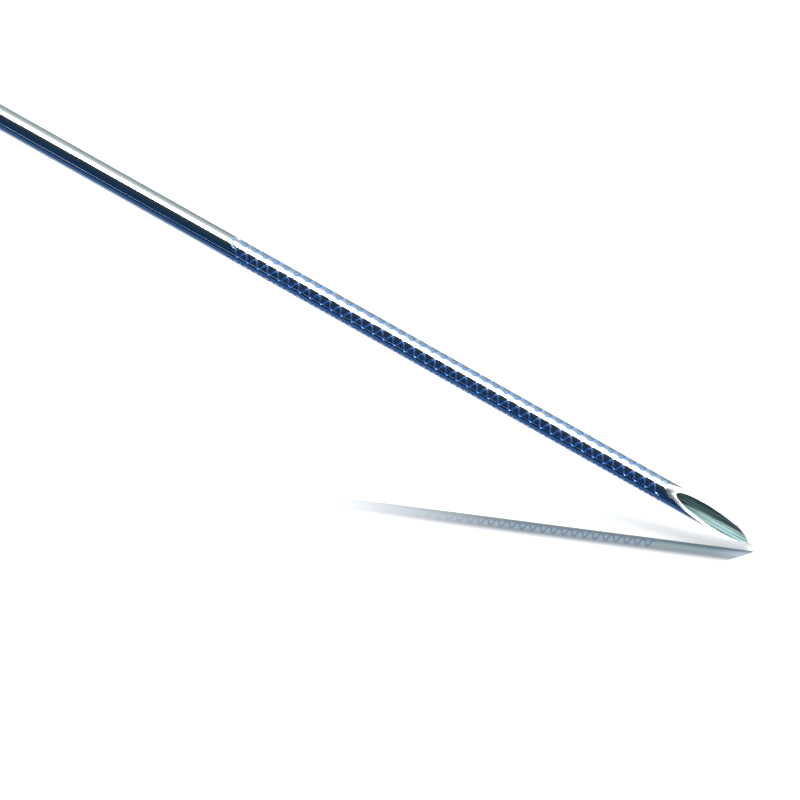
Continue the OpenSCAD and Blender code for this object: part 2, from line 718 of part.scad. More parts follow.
// Hub of the needle, with a Luer socket for a syringe
socket_l = 9;
socket_end_r = socket_d / 2 - luer_share * socket_l;
socket_funnel_l = 2;
shaft_start = 1;
lug_l = 2;
lug_w = 3.2;
lug_gap = 0.1;
lug_top = lug_d / 2 - lug_gap;
hub_rib_w = 1;
hub_rib_rise = 0.7;
hub_rib_start = 3.5;
hub_seat_x = plunger_x0 + hub_seat_l;
module needle_hub() {
    color("white") difference() {
        union() {
            x_bar(hub_d / 2, hub_x0, hub_seat_x);
            x_bar(hub_flange_r, hub_flange_x0 + face_gap, hub_flange_x1);
            around_x(2, 90) translate([hub_x0, -lug_w / 2, 0]) cube([lug_l, lug_w, lug_top]);
            around_x(4) translate([hub_x0 + hub_rib_start, -hub_rib_w / 2, 0])
                cube([hub_l - hub_rib_start - hub_rib_w, hub_rib_w, hub_d / 2 + hub_rib_rise]);
        }
        x_cone(socket_d / 2, socket_end_r, hub_x0 - eps, hub_x0 + socket_l);
        x_cone(socket_end_r, shaft_r, hub_x0 + socket_l - eps,
            hub_x0 + socket_l + socket_funnel_l);
        x_bar(shaft_r, hub_x0, hub_seat_x + cut);
    }
}
washer_t = 1.4;
washer_in = 0.3;
washer_gap = 0.2;
module hub_washer() {
    color("dimgray") x_tube(hub_flange_r - washer_in, shaft_r + washer_gap, hub_seat_x,
        hub_seat_x + washer_t);
}

shaft_x0 = hub_x0 + socket_l + socket_funnel_l + shaft_start;
module needle_shaft() {
    color("silver") x_tube(shaft_r, shaft_bore_r, shaft_x0, guide_x1 - guide_step);
}

// Stylet at the handle's end, drawn back from its seat in the hub
cap_x1 = hub_x0 - stylet_back;
cap_x0 = cap_x1 - stylet_cap_l;
cap_plug_l = 5;
cap_plug_gap = 0.15;
cap_plug_r = socket_d / 2 - cap_plug_gap;
cap_neck_r = lug_d / 2 + small_c;
cap_neck_start = 5;
cap_disc_t = 3.2;
cap_disc_top = 2.6;
cap_rib_rise = 0.5;
cap_disc_r = stylet_cap_d / 2 - cap_rib_rise;
cap_ribs = 16;
cap_rib_r = 0.8;
cap_wire_start = 3;
cap_wire_x = cap_x0 + cap_wire_start;
module stylet_cap() {
    color("steelblue") difference() {
        union() {
            x_turned([[0, cap_x0], [cap_disc_r - edge_c, cap_x0], [cap_disc_r, cap_x0 + edge_c],
                [cap_disc_r, cap_x0 + cap_disc_top], [cap_disc_r - edge_c, cap_x0 + cap_disc_t],
                [cap_neck_r, cap_x0 + cap_neck_start], [cap_neck_r, cap_x1], [cap_plug_r, cap_x1],
                [cap_plug_r - luer_share * cap_plug_l, cap_x1 + cap_plug_l],
                [0, cap_x1 + cap_plug_l]]);
            around_x(cap_ribs) x_rib(stylet_cap_d / 2 - cap_rib_r, cap_rib_r,
                cap_x0 + cap_rib_r, cap_x0 + cap_disc_top);
        }
        x_bar(stylet_d / 2, cap_wire_x, cap_x1 + cap_plug_l + cut);
    }
}
module stylet_wire() {
    color("silver") x_bar(stylet_d / 2, cap_wire_x, cap_x1 + stylet_wire_l);
}

// Sheath outside the handle
tube_sides = 8;
coil_sides = 6;
module sheath_lead() { color("lightsteelblue") swept(lead_line, sheath_r, tube_sides); }
module sheath_coil() { color("lightsteelblue") swept(coil_line, sheath_r, coil_sides); }
module sheath_run() { color("lightsteelblue") swept(run_line, sheath_r, tube_sides); }

// Clip that holds the turns, open on top with two hooks. The lead passes
// outside the outer turn, so the clip reaches past it.
clip_base = 0.6;
clip_play = 0.5;
lead_out = 1.9;
hook_w = 1.1;
hook_t = 0.4;
hook_top = 1;
tab_t = 0.8;
tab_rise = 1;
tab_root_l = 2;
clip_in = coil_x + coil_r - turn_pitch * turns / 2 - sheath_r - clip_play;
clip_out = coil_x + coil_r + lead_out + sheath_r + clip_play;
clip_top = coil_z + layer_pitch + sheath_r + clip_play;
tab_x0 = clip_in - clip_wall - clip_tab_l;
tab_top = floor_z + clip_base + tab_t;
module coil_clip() {
    color("steelblue") translate([0, coil_y + clip_w / 2, 0]) rotate([90, 0, 0])
        difference() {
            linear_extrude(clip_w) polygon([
                [tab_x0, floor_z], [clip_out + clip_wall, floor_z],
                [clip_out + clip_wall, clip_top + hook_top], [clip_out, clip_top + hook_top],
                [clip_out - hook_w, clip_top + hook_t], [clip_out - hook_w, clip_top],
                [clip_out, clip_top], [clip_out, floor_z + clip_base],
                [clip_in, floor_z + clip_base], [clip_in, clip_top],
                [clip_in + hook_w, clip_top], [clip_in + hook_w, clip_top + hook_t],
                [clip_in, clip_top + hook_top], [clip_in - clip_wall, clip_top + hook_top],
                [clip_in - clip_wall, tab_top + tab_rise],
                [clip_in - clip_wall - tab_root_l, tab_top], [tab_x0, tab_top]]);
            translate([tab_x0 + clip_w / 2, floor_z - cut, clip_w / 2])
                rotate([-90, 0, 0]) cylinder(h = clip_base + tab_t + 2 * cut, r = clip_w / 4);
        }
}

// Straight end of the sheath and the needle in it, drawn along the needle's line
module sheath_distal() {
    color("lightsteelblue") along_needle(0) difference() {
        translate([0, 0, -sheath_back]) cylinder(h = sheath_straight_l - end_ring_l, r = sheath_r);
        translate([0, 0, -sheath_back - cut])
            cylinder(h = sheath_straight_l + 2 * cut, r = sheath_bore_r);
    }
}
ring_round = 0.4;
ring_arc_step = 30;
module sheath_end_ring() {
    color("silver") along_needle(reach_l) rotate_extrude()
        polygon(concat([[sheath_bore_r, 0], [sheath_bore_r, -end_ring_l], [sheath_r, -end_ring_l]],
            [for (a = [0:ring_arc_step:90]) [sheath_r - ring_round * (1 - cos(a)),
                ring_round * (sin(a) - 1)]]));
}

// Ground point: one long bevel through the bore, and a lancet facet each side.
// The facets meet at the point, and take the bevel's own point away. Each one
// meets the bevel's edge one facet length behind the point.
bevel_reach = cannula_r / tan(bevel_angle);
lancet_edge_y = (lancet_l + lancet_back - bevel_reach) * tan(bevel_angle);
lancet_edge_x = sqrt(cannula_r * cannula_r - lancet_edge_y * lancet_edge_y);
lancet_rise = lancet_edge_x * sin(lancet_turn)
    + (lancet_edge_y + cannula_r) * cos(lancet_turn);
lancet_angle = atan(lancet_rise / lancet_l);
grind = 8 * cannula_d;
module bevel_side(angle) {
    rotate([angle, 0, 0]) translate([-grind, 0, -grind]) cube([2 * grind, grind, 2 * grind]);
}
module needle_tip() {
    color("silver") along_needle(0) rotate([0, 0, bevel_roll]) difference() {
        translate([0, 0, -tip_l]) cylinder(h = tip_l + cut, r = cannula_r);
        translate([0, 0, -tip_l - cut]) cylinder(h = tip_l + 3 * cut, r = cannula_bore_r);
        translate([0, 0, lancet_back - bevel_reach]) bevel_side(bevel_angle);
        for (s = [-1, 1]) rotate([0, 0, s * lancet_turn])
            translate([0, -cannula_r * cos(lancet_turn), 0]) bevel_side(lancet_angle);
    }
}
module stylet_tip() {
    color("silver") along_needle(stylet_back) rotate_extrude()
        polygon([[0, -stylet_end_l], [stylet_d / 2, -stylet_end_l], [stylet_d / 2, -stylet_d / 4],
            [stylet_d / 4, 0], [0, 0]]);
}

luer_connector();
luer_collar();
adjuster_sleeve();
sleeve_seal();
sheath_lock_knob();
sheath_lock_shank();
front_barrel();
barrel_retainer();
sheath_anchor();
sheath_root();
guide_tube();
grip_upper_shell();
grip_lower_shell();
front_ring();
stem_bush();
stem_seal();
grip_screws();
ruler_stem();
stop_ring();
stop_lock_knob();
stop_lock_shank();
plunger_upper_shell();
plunger_lower_shell();
plunger_screws();
plunger_nose();
needle_hub();
hub_washer();
needle_shaft();
stylet_cap();
stylet_wire();
sheath_lead();
sheath_coil();
sheath_run();
coil_clip();
sheath_distal();
sheath_end_ring();
needle_tip();
stylet_tip();
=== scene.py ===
"""Endoscopic ultrasound needle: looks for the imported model, laid out as a Blender add-on.

Sizes in the property groups are in metres. The needle's point is worked out in millimetres
along its own axis, and turned into the model's frame when its mesh is finished.
"""
import math

import bmesh
import bpy
from mathutils import Matrix, Vector


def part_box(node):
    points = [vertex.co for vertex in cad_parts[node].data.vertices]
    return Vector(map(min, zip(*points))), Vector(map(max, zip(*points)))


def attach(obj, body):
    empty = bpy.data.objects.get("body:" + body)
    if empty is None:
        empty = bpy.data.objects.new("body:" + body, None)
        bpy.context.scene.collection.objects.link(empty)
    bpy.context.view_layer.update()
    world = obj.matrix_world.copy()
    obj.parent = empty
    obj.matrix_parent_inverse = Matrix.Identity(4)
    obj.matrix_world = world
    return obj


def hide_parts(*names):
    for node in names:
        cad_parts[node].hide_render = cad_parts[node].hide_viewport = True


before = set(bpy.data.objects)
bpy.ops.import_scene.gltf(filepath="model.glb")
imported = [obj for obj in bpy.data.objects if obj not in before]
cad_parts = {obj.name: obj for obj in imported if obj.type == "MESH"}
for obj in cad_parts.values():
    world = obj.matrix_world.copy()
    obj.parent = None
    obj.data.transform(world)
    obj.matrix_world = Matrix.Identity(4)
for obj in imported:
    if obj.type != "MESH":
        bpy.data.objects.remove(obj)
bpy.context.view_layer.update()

bl_info = {
    "name": "Endoscopic ultrasound needle",
    "version": (1, 0, 0),
    "blender": (4, 5, 0),
    "location": "View3D > Sidebar > Needle",
    "description": "Dresses the packed needle: etched point, sheath, scales, finishes and stage",
    "category": "Object",
}

MM = 0.001

# The needle leaves the coiled sheath along this slope, and its point rests on the floor.
SLOPE = math.radians(17.7)
POINT = Vector((-140.0, -84.93, -13.5))
BACK = Vector((0.0, math.cos(SLOPE), math.sin(SLOPE)))
FLOOR_Z = -14.0 * MM

# Where the sheath's line passes, in millimetres, from inside the handle to the coil.
LEAD_POINTS = [
    (-20, 0, 0), (-10, 0, 0), (0, 0, 0), (10, 0, 0), (22, 1, -0.5), (36, 5.5, -3),
    (48.5, 15, -6.5), (58.5, 28, -9.5), (64, 44, -12), (64.5, 60, -12.4), (60, 75, -12.4),
    (51, 88, -12.4), (39, 97.5, -12.4), (26, 102.5, -12.4)]
RUN_POINTS = [
    (0, 104, -10), (-16, 104, -9.9), (-32, 104, -9.5), (-48, 104, -8.5), (-64, 104, -6.5),
    (-80, 104, -4), (-96, 103, -1), (-111, 98, 2.5), (-124, 89, 6.5), (-133.5, 76.5, 11),
    (-138.5, 62, 15), (-140, 47, 18), (-140, 32, 19.5), (-140, 20, 19)]
COIL = {"centre": (12.0, 53.0), "radius": 51.0, "z": -12.4, "pitch": 2.6, "layer": 2.4,
        "turns": 3, "climb": 0.5}
# In millimetres: where the sheath's straight end runs, back from the needle's point, the short
# straight stretch where two runs meet, and how far the connector's mouth reaches.
STRAIGHT = (100.0, 41.6)
STUB = 1.8
MOUTH = 0.5


# Sizes and colours that a user would change ------------------------------------------------------

class NeedlePointSizes(bpy.types.PropertyGroup):
    diameter: bpy.props.FloatProperty(
        name="Outer diameter", description="Across the drawn tube", default=0.72 * MM,
        min=0.3 * MM, max=1.5 * MM, precision=5, unit="LENGTH")
    bore: bpy.props.FloatProperty(
        name="Bore", description="Across the open inside", default=0.55 * MM,
        min=0.1 * MM, max=1.2 * MM, precision=5, unit="LENGTH")
    length: bpy.props.FloatProperty(
        name="Length", description="From the point back into the sheath", default=52 * MM,
        precision=4, unit="LENGTH")
    bevel: bpy.props.FloatProperty(
        name="Bevel", description="Angle of the long ground face to the axis",
        default=math.radians(11.6), subtype="ANGLE")
    bevel_roll: bpy.props.FloatProperty(
        name="Bevel roll", description="Turn of the ground face about the axis",
        default=math.radians(13.6), subtype="ANGLE")
    facet_length: bpy.props.FloatProperty(
        name="Facet length", description="From the point to where a lancet facet meets the rim",
        default=0.8 * MM, precision=5, unit="LENGTH")
    facet_turn: bpy.props.FloatProperty(
        name="Facet turn", description="Turn of a lancet facet about the axis",
        default=math.radians(20), subtype="ANGLE")
    facet_cut: bpy.props.FloatProperty(
        name="Facet cut", description="What the facets take off the long face's own point",
        default=0.2 * MM, precision=5, unit="LENGTH")
    honed: bpy.props.FloatProperty(
        name="Honed edge", description="Chamfer left along the ground edges by deburring",
        default=0.01 * MM, precision=6, unit="LENGTH")
    band_start: bpy.props.FloatProperty(
        name="Band start", description="From the point to the first etched wave",
        default=3.46 * MM, precision=5, unit="LENGTH")
    wave: bpy.props.FloatProperty(
        name="Wave", description="Length of one etched wave", default=0.3735 * MM,
        precision=5, unit="LENGTH")
    waves: bpy.props.FloatProperty(
        name="Waves", description="Number of waves along the band", default=40.5)
    swing: bpy.props.FloatProperty(
        name="Swing", description="How far a line sways about the axis to each side",
        default=math.radians(16.7), subtype="ANGLE")
    line: bpy.props.FloatProperty(
        name="Line width", description="Across the etched groove", default=0.065 * MM,
        precision=6, unit="LENGTH")
    depth: bpy.props.FloatProperty(
        name="Line depth", description="Depth of the etched groove", default=0.02 * MM,
        precision=6, unit="LENGTH")


class SheathSizes(bpy.types.PropertyGroup):
    diameter: bpy.props.FloatProperty(
        name="Sheath diameter", description="Across the extruded sheath", default=1.8 * MM,
        precision=4, unit="LENGTH")
    length: bpy.props.FloatProperty(
        name="Sheath length", description="Along its line, from the scope connector",
        default=1.407, unit="LENGTH")


class ScaleSizes(bpy.types.PropertyGroup):
    stem: bpy.props.FloatProperty(
        name="Stem diameter", description="Across the round of the stem", default=9.2 * MM,
        precision=4, unit="LENGTH")
    flat: bpy.props.FloatProperty(
        name="Flat", description="Height of the flat that carries the scale above the stem's axis",
        default=3.9 * MM, precision=4, unit="LENGTH")
    numbers: bpy.props.IntProperty(
        name="Numbers", description="Centimetres that are numbered", default=4, min=1, max=9)
    number_height: bpy.props.FloatProperty(
        name="Number height", description="Height of a printed number", default=2.6 * MM,
        precision=4, unit="LENGTH")
    mark_width: bpy.props.FloatProperty(
        name="Mark width", description="Width of a millimetre mark", default=0.22 * MM,
        precision=5, unit="LENGTH")


def colour_prop(name, description, hexa):
    """A colour property whose default is an sRGB hex value."""
    return bpy.props.FloatVectorProperty(
        name=name, description=description, subtype="COLOR", size=3, min=0, max=1,
        default=linear(hexa)[:3])


def linear(hexa):
    """sRGB hex, such as "#c8d0d2", to linear red, green, blue and alpha."""
    out = []
    for i in (1, 3, 5):
        c = int(hexa[i:i + 2], 16) / 255
        out.append(c / 12.92 if c <= 0.04045 else ((c + 0.055) / 1.055) ** 2.4)
    return (*out, 1.0)


class FinishColours(bpy.types.PropertyGroup):
    shell: colour_prop("Shells", "Moulded white handle shells", "#cfd4d5")
    accent: colour_prop("Rings and knobs", "Moulded blue parts", "#1f5fa8")
    barrel: colour_prop("Barrel", "Moulded grey barrel and inner parts", "#98a1a7")
    sheath: colour_prop("Sheath", "Extruded sheath", "#5b8fc0")
    cannula: colour_prop("Cannula", "Drawn stainless tube", "#c9ced0")
    print_ink: colour_prop("Scale ink", "Printed marks and numbers", "#1b1f24")


class StageSettings(bpy.types.PropertyGroup):
    azimuth: bpy.props.FloatProperty(
        name="Camera azimuth", description="Viewing direction round the model",
        default=math.radians(-66.2), subtype="ANGLE")
    elevation: bpy.props.FloatProperty(
        name="Camera elevation", description="Viewing direction above the horizon",
        default=math.radians(51.6), subtype="ANGLE")
    width: bpy.props.FloatProperty(
        name="Picture width", description="Width of what the camera sees at the needle",
        default=24.9 * MM, precision=4, unit="LENGTH")
    distance: bpy.props.FloatProperty(
        name="Camera distance", description="From the camera to the needle", default=0.5,
        unit="LENGTH")
    point_right: bpy.props.FloatProperty(
        name="Point right", description="Where the point lies, right of the picture's middle",
        default=11.0 * MM, precision=5, unit="LENGTH")
    point_down: bpy.props.FloatProperty(
        name="Point down", description="Where the point lies, below the picture's middle",
        default=4.53 * MM, precision=5, unit="LENGTH")


# Small helpers -----------------------------------------------------------------------------------

def deselect():
    """Nothing selected, so that the next operator acts on what it adds."""
    if bpy.context.object and bpy.context.object.mode != "OBJECT":
        bpy.ops.object.mode_set(mode="OBJECT")
    bpy.ops.object.select_all(action="DESELECT")


def only(obj):
    """obj alone selected and active."""
    deselect()
    obj.select_set(True)
    bpy.context.view_layer.objects.active = obj
    return obj


def apply_modifier(obj, kind, **settings):
    """Adds a modifier with its settings and applies it."""
    mod = obj.modifiers.new(kind.title(), kind)
    for key, value in settings.items():
        setattr(mod, key, value)
    only(obj)
    bpy.ops.object.modifier_apply(modifier=mod.name)


def join(objs, name):
    """objs as one object."""
    deselect()
    for o in objs:
        o.select_set(True)
    bpy.context.view_layer.objects.active = objs[0]
    if len(objs) > 1:
        bpy.ops.object.join()
    objs[0].name = name
    objs[0].data.name = name
    return objs[0]


def add_node(tree, kind, links=(), **settings):
    """One shader node. links are (output socket, name of this node's input); settings are its
    own settings, or values for inputs, with _ for a space."""
    node = tree.nodes.new(kind)
    for key, value in settings.items():
        if hasattr(node, key):
            setattr(node, key, value)
        else:
            node.inputs[key.replace("_", " ")].default_value = value
    for source, target in links:
        tree.links.new(source, node.inputs[target])
    return node


def new_material(name):
    """A material with its tree, its shader and object coordinates."""
    mat = bpy.data.materials.new(name)
    mat.use_nodes = True
    tree = mat.node_tree
    shader = tree.nodes["Principled BSDF"]
    place = add_node(tree, "ShaderNodeTexCoord").outputs["Object"]
    return mat, tree, shader, place


def finish_with(objects, mat):
    """Every slot of these objects gets the material."""
    for o in objects:
        if not o.material_slots:
            o.data.materials.append(mat)
        for s in o.material_slots:
            s.material = mat


def cad(*names):
    """CAD nodes by name."""
    return [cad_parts[n] for n in names]


# Finishes ----------------------------------------------------------------------------------------

def moulded_abs(name, colour, roughness=0.38, grain=0.00018):
    """Injection-moulded ABS: an even colour with faint flow clouding, and the fine sparked
    grain of the mould, which breaks up highlights."""
    mat, tree, shader, place = new_material(name)
    cloud = add_node(tree, "ShaderNodeTexNoise", [(place, "Vector")], Scale=60.0, Detail=3.0)
    tone = add_node(tree, "ShaderNodeValToRGB", [(cloud.outputs["Fac"], "Fac")])
    tone.color_ramp.elements[0].position = 0.35
    tone.color_ramp.elements[1].position = 0.7
    tone.color_ramp.elements[0].color = (*[c * 0.93 for c in colour], 1)
    tone.color_ramp.elements[1].color = (*[min(1, c * 1.03) for c in colour], 1)
    tree.links.new(tone.outputs["Color"], shader.inputs["Base Color"])
    spark = add_node(tree, "ShaderNodeTexNoise", [(place, "Vector")], Scale=1 / grain, Detail=2.0)
    gloss = add_node(tree, "ShaderNodeMapRange", [(spark.outputs["Fac"], "Value")],
                     To_Min=roughness - 0.06, To_Max=roughness + 0.08)
    tree.links.new(gloss.outputs["Result"], shader.inputs["Roughness"])
    shader.inputs["IOR"].default_value = 1.54
    bump = add_node(tree, "ShaderNodeBump", [(spark.outputs["Fac"], "Height")],
                    Strength=0.6, Distance=0.00001)
    tree.links.new(bump.outputs["Normal"], shader.inputs["Normal"])
    return mat


def extruded_sheath(name, colour):
    """Extruded PEEK sheath: smooth and slightly see-through at its skin, with faint die lines
    along it, which the tube's own UV map follows."""
    mat, tree, shader, _ = new_material(name)
    uv = add_node(tree, "ShaderNodeUVMap", uv_map="along")
    stretch = add_node(tree, "ShaderNodeMapping", [(uv.outputs["UV"], "Vector")])
    stretch.inputs["Scale"].default_value = (40.0, 26.0, 1.0)
    lines = add_node(tree, "ShaderNodeTexNoise", [(stretch.outputs["Vector"], "Vector")],
                     Scale=1.0, Detail=2.0)
    tone = add_node(tree, "ShaderNodeValToRGB", [(lines.outputs["Fac"], "Fac")])
    tone.color_ramp.elements[0].color = (*[c * 0.86 for c in colour], 1)
    tone.color_ramp.elements[1].color = (*[min(1, c * 1.1) for c in colour], 1)
    tree.links.new(tone.outputs["Color"], shader.inputs["Base Color"])
    shader.inputs["Roughness"].default_value = 0.26
    shader.inputs["IOR"].default_value = 1.67
    shader.inputs["Subsurface Weight"].default_value = 0.08
    shader.inputs["Subsurface Scale"].default_value = 0.0006
    bump = add_node(tree, "ShaderNodeBump", [(lines.outputs["Fac"], "Height")],
                    Strength=0.5, Distance=0.000006)
    tree.links.new(bump.outputs["Normal"], shader.inputs["Normal"])
    return mat


def turned_steel(name, colour, roughness=0.24, axis="X"):
    """Turned stainless steel: bright, with fine rings left by the lathe tool across its axis."""
    mat, tree, shader, place = new_material(name)
    rings = add_node(tree, "ShaderNodeTexWave", [(place, "Vector")], wave_type="BANDS",
                     bands_direction=axis, Scale=900.0, Distortion=1.5, Detail=2.0)
    shader.inputs["Base Color"].default_value = colour
    shader.inputs["Metallic"].default_value = 1.0
    gloss = add_node(tree, "ShaderNodeMapRange", [(rings.outputs["Fac"], "Value")],
                     To_Min=roughness - 0.05, To_Max=roughness + 0.1)
    tree.links.new(gloss.outputs["Result"], shader.inputs["Roughness"])
    bump = add_node(tree, "ShaderNodeBump", [(rings.outputs["Fac"], "Height")],
                    Strength=0.4, Distance=0.000004)
    tree.links.new(bump.outputs["Normal"], shader.inputs["Normal"])
    return mat


def along_cannula(tree, place, stretch):
    """Object coordinates turned so that Z runs along the cannula, and stretched along it."""
    turn = add_node(tree, "ShaderNodeMapping", [(place, "Vector")], vector_type="TEXTURE")
    turn.inputs["Rotation"].default_value = (math.pi / 2 + SLOPE, 0, 0)
    squash = add_node(tree, "ShaderNodeMapping", [(turn.outputs["Vector"], "Vector")])
    squash.inputs["Scale"].default_value = (1.0, 1.0, stretch)
    return squash.outputs["Vector"]


def drawn_cannula(name, colour):
    """Cold-drawn and electropolished stainless tube: near a mirror, with hairlines along it
    from the drawing die, 0.01 to 0.03 mm apart."""
    mat, tree, shader, place = new_material(name)
    along = along_cannula(tree, place, 0.02)
    hair = add_node(tree, "ShaderNodeTexNoise", [(along, "Vector")], Scale=42000.0, Detail=3.0)
    gloss = add_node(tree, "ShaderNodeMapRange", [(hair.outputs["Fac"], "Value")],
                     To_Min=0.05, To_Max=0.14)
    tree.links.new(gloss.outputs["Result"], shader.inputs["Roughness"])
    shader.inputs["Base Color"].default_value = (*colour, 1)
    shader.inputs["Metallic"].default_value = 1.0
    bump = add_node(tree, "ShaderNodeBump", [(hair.outputs["Fac"], "Height")],
                    Strength=0.35, Distance=0.0000006)
    tree.links.new(bump.outputs["Normal"], shader.inputs["Normal"])
    return mat


def etched_groove(name, colour):
    """Laser-etched groove: the melted floor is frosted, so that it scatters light and sound. Its
    blue is partly heat tint and partly painted reflection; its pale flecks are painted glints."""
    mat, tree, shader, place = new_material(name)
    melt_and_glints = add_node(tree, "ShaderNodeTexNoise", [(place, "Vector")], Scale=52000.0, Detail=3.0)
    tone = add_node(tree, "ShaderNodeValToRGB", [(melt_and_glints.outputs["Fac"], "Fac")])
    # Painted glints: the pale flecks where the noise is high. The blue is partly heat tint and
    # partly a painted reflection of blue light.
    tone.color_ramp.elements[0].position = 0.52
    tone.color_ramp.elements[1].position = 0.66
    tone.color_ramp.elements[0].color = (*colour, 1)
    tone.color_ramp.elements[1].color = linear("#d9d6cd")
    tree.links.new(tone.outputs["Color"], shader.inputs["Base Color"])
    shader.inputs["Metallic"].default_value = 1.0
    shader.inputs["Roughness"].default_value = 0.42
    bump = add_node(tree, "ShaderNodeBump", [(melt_and_glints.outputs["Fac"], "Height")],
                    Strength=0.8, Distance=0.000003)
    tree.links.new(bump.outputs["Normal"], shader.inputs["Normal"])
    return mat


def ground_face(name):
    """Wheel-ground bevel: flat and bright, with grinding lines 0.02 mm apart across it."""
    mat, tree, shader, place = new_material(name)
    along = along_cannula(tree, place, 1.0)
    lines = add_node(tree, "ShaderNodeTexWave", [(along, "Vector")], wave_type="BANDS",
                     bands_direction="Z", Scale=9000.0, Distortion=2.0, Detail=2.0)
    gloss = add_node(tree, "ShaderNodeMapRange", [(lines.outputs["Fac"], "Value")],
                     To_Min=0.16, To_Max=0.32)
    tree.links.new(gloss.outputs["Result"], shader.inputs["Roughness"])
    shader.inputs["Base Color"].default_value = linear("#e2e6e7")
    shader.inputs["Metallic"].default_value = 1.0
    bump = add_node(tree, "ShaderNodeBump", [(lines.outputs["Fac"], "Height")],
                    Strength=0.4, Distance=0.0000008)
    tree.links.new(bump.outputs["Normal"], shader.inputs["Normal"])
    return mat


def reamed_bore(name):
    """Bore of the drawn tube, not polished: duller than the outside, with streaks along it, and
    painted darker than the outside as shade in the hollow."""
    mat, tree, shader, place = new_material(name)
    along = along_cannula(tree, place, 0.03)
    streak = add_node(tree, "ShaderNodeTexNoise", [(along, "Vector")], Scale=26000.0, Detail=3.0)
    tone = add_node(tree, "ShaderNodeValToRGB", [(streak.outputs["Fac"], "Fac")])
    tone.color_ramp.elements[0].position = 0.35
    tone.color_ramp.elements[1].position = 0.7
    # Painted shade: the dark teal stands for the shade inside the tube; the streaks between the
    # two tones are random.
    tone.color_ramp.elements[0].color = linear("#4a6668")
    tone.color_ramp.elements[1].color = linear("#8ea4a3")
    tree.links.new(tone.outputs["Color"], shader.inputs["Base Color"])
    shader.inputs["Metallic"].default_value = 1.0
    shader.inputs["Roughness"].default_value = 0.44
    bump = add_node(tree, "ShaderNodeBump", [(streak.outputs["Fac"], "Height")],
                    Strength=0.6, Distance=0.000003)
    tree.links.new(bump.outputs["Normal"], shader.inputs["Normal"])
    return mat


def moulded_rubber(name):
    """Nitrile O-ring: matt black with a fine moulded bloom."""
    mat, tree, shader, place = new_material(name)
    bloom = add_node(tree, "ShaderNodeTexNoise", [(place, "Vector")], Scale=2500.0, Detail=3.0)
    tone = add_node(tree, "ShaderNodeValToRGB", [(bloom.outputs["Fac"], "Fac")])
    tone.color_ramp.elements[0].color = linear("#17181a")
    tone.color_ramp.elements[1].color = linear("#2b2d30")
    tree.links.new(tone.outputs["Color"], shader.inputs["Base Color"])
    shader.inputs["Roughness"].default_value = 0.62
    bump = add_node(tree, "ShaderNodeBump", [(bloom.outputs["Fac"], "Height")],
                    Strength=0.5, Distance=0.00001)
    tree.links.new(bump.outputs["Normal"], shader.inputs["Normal"])
    return mat


def clear_polycarbonate(name, tint):
    """Moulded clear polycarbonate: glassy, a little smoky in its thick parts."""
    mat, tree, shader, place = new_material(name)
    flow = add_node(tree, "ShaderNodeTexNoise", [(place, "Vector")], Scale=120.0, Detail=2.0)
    gloss = add_node(tree, "ShaderNodeMapRange", [(flow.outputs["Fac"], "Value")],
                     To_Min=0.04, To_Max=0.12)
    tree.links.new(gloss.outputs["Result"], shader.inputs["Roughness"])
    shader.inputs["Base Color"].default_value = tint
    shader.inputs["Transmission Weight"].default_value = 0.82
    shader.inputs["IOR"].default_value = 1.58
    bump = add_node(tree, "ShaderNodeBump", [(flow.outputs["Fac"], "Height")],
                    Strength=0.3, Distance=0.00002)
    tree.links.new(bump.outputs["Normal"], shader.inputs["Normal"])
    return mat


def pad_ink(name, colour):
    """Pad-printed ink: matt, slightly thin at random spots."""
    mat, tree, shader, place = new_material(name)
    wear = add_node(tree, "ShaderNodeTexNoise", [(place, "Vector")], Scale=4000.0, Detail=3.0)
    tone = add_node(tree, "ShaderNodeValToRGB", [(wear.outputs["Fac"], "Fac")])
    tone.color_ramp.elements[0].position = 0.2
    tone.color_ramp.elements[0].color = (*[c + 0.06 for c in colour], 1)
    tone.color_ramp.elements[1].color = (*colour, 1)
    tree.links.new(tone.outputs["Color"], shader.inputs["Base Color"])
    shader.inputs["Roughness"].default_value = 0.55
    bump = add_node(tree, "ShaderNodeBump", [(wear.outputs["Fac"], "Height")],
                    Strength=0.4, Distance=0.000004)
    tree.links.new(bump.outputs["Normal"], shader.inputs["Normal"])
    return mat


# The needle's point ------------------------------------------------------------------------------

# Turned about the cannula's axis, the line to the camera and the line that the waves start from.
TOWARDS_VIEW = math.radians(124.6)
FIRST_LINE = math.radians(-10.7)
LINES = 6
ROUND = 240
BORE_ROUND = 96
# How far the unground tube runs past the point, in millimetres, and the share of a groove's
# half width that its sloped wall takes.
PAST_POINT = 0.3
WALL_SHARE = 0.4
# Rings to one wave, and the distance between rings where the lines turn back, in millimetres.
PER_WAVE = 16
TURN_STEP = 0.0095
# Slots of the point's mesh, in the order of its materials.
SKIN, GROOVE, GROUND, INSIDE = range(4)


def cannula_place():
    """Millimetres along the cannula's own axis, point at zero and -Z backwards, to the model."""
    turn = Matrix.Rotation(math.pi / 2 + SLOPE, 4, "X")
    return Matrix.Scale(MM, 4) @ Matrix.Translation(POINT) @ turn


def ring(bm, n, angles, radii):
    """A ring of vertices round the axis, n back from the point."""
    return [bm.verts.new((r * math.cos(a), r * math.sin(a), -n)) for a, r in zip(angles, radii)]


def skin(bm, front, back, mark=None):
    """Faces between two rings with the same angles, front first. mark says each one's slot."""
    count = len(front)
    for i in range(count):
        j = (i + 1) % count
        face = bm.faces.new((front[i], back[i], back[j], front[j]))
        face.material_index = mark(i) if mark else 0


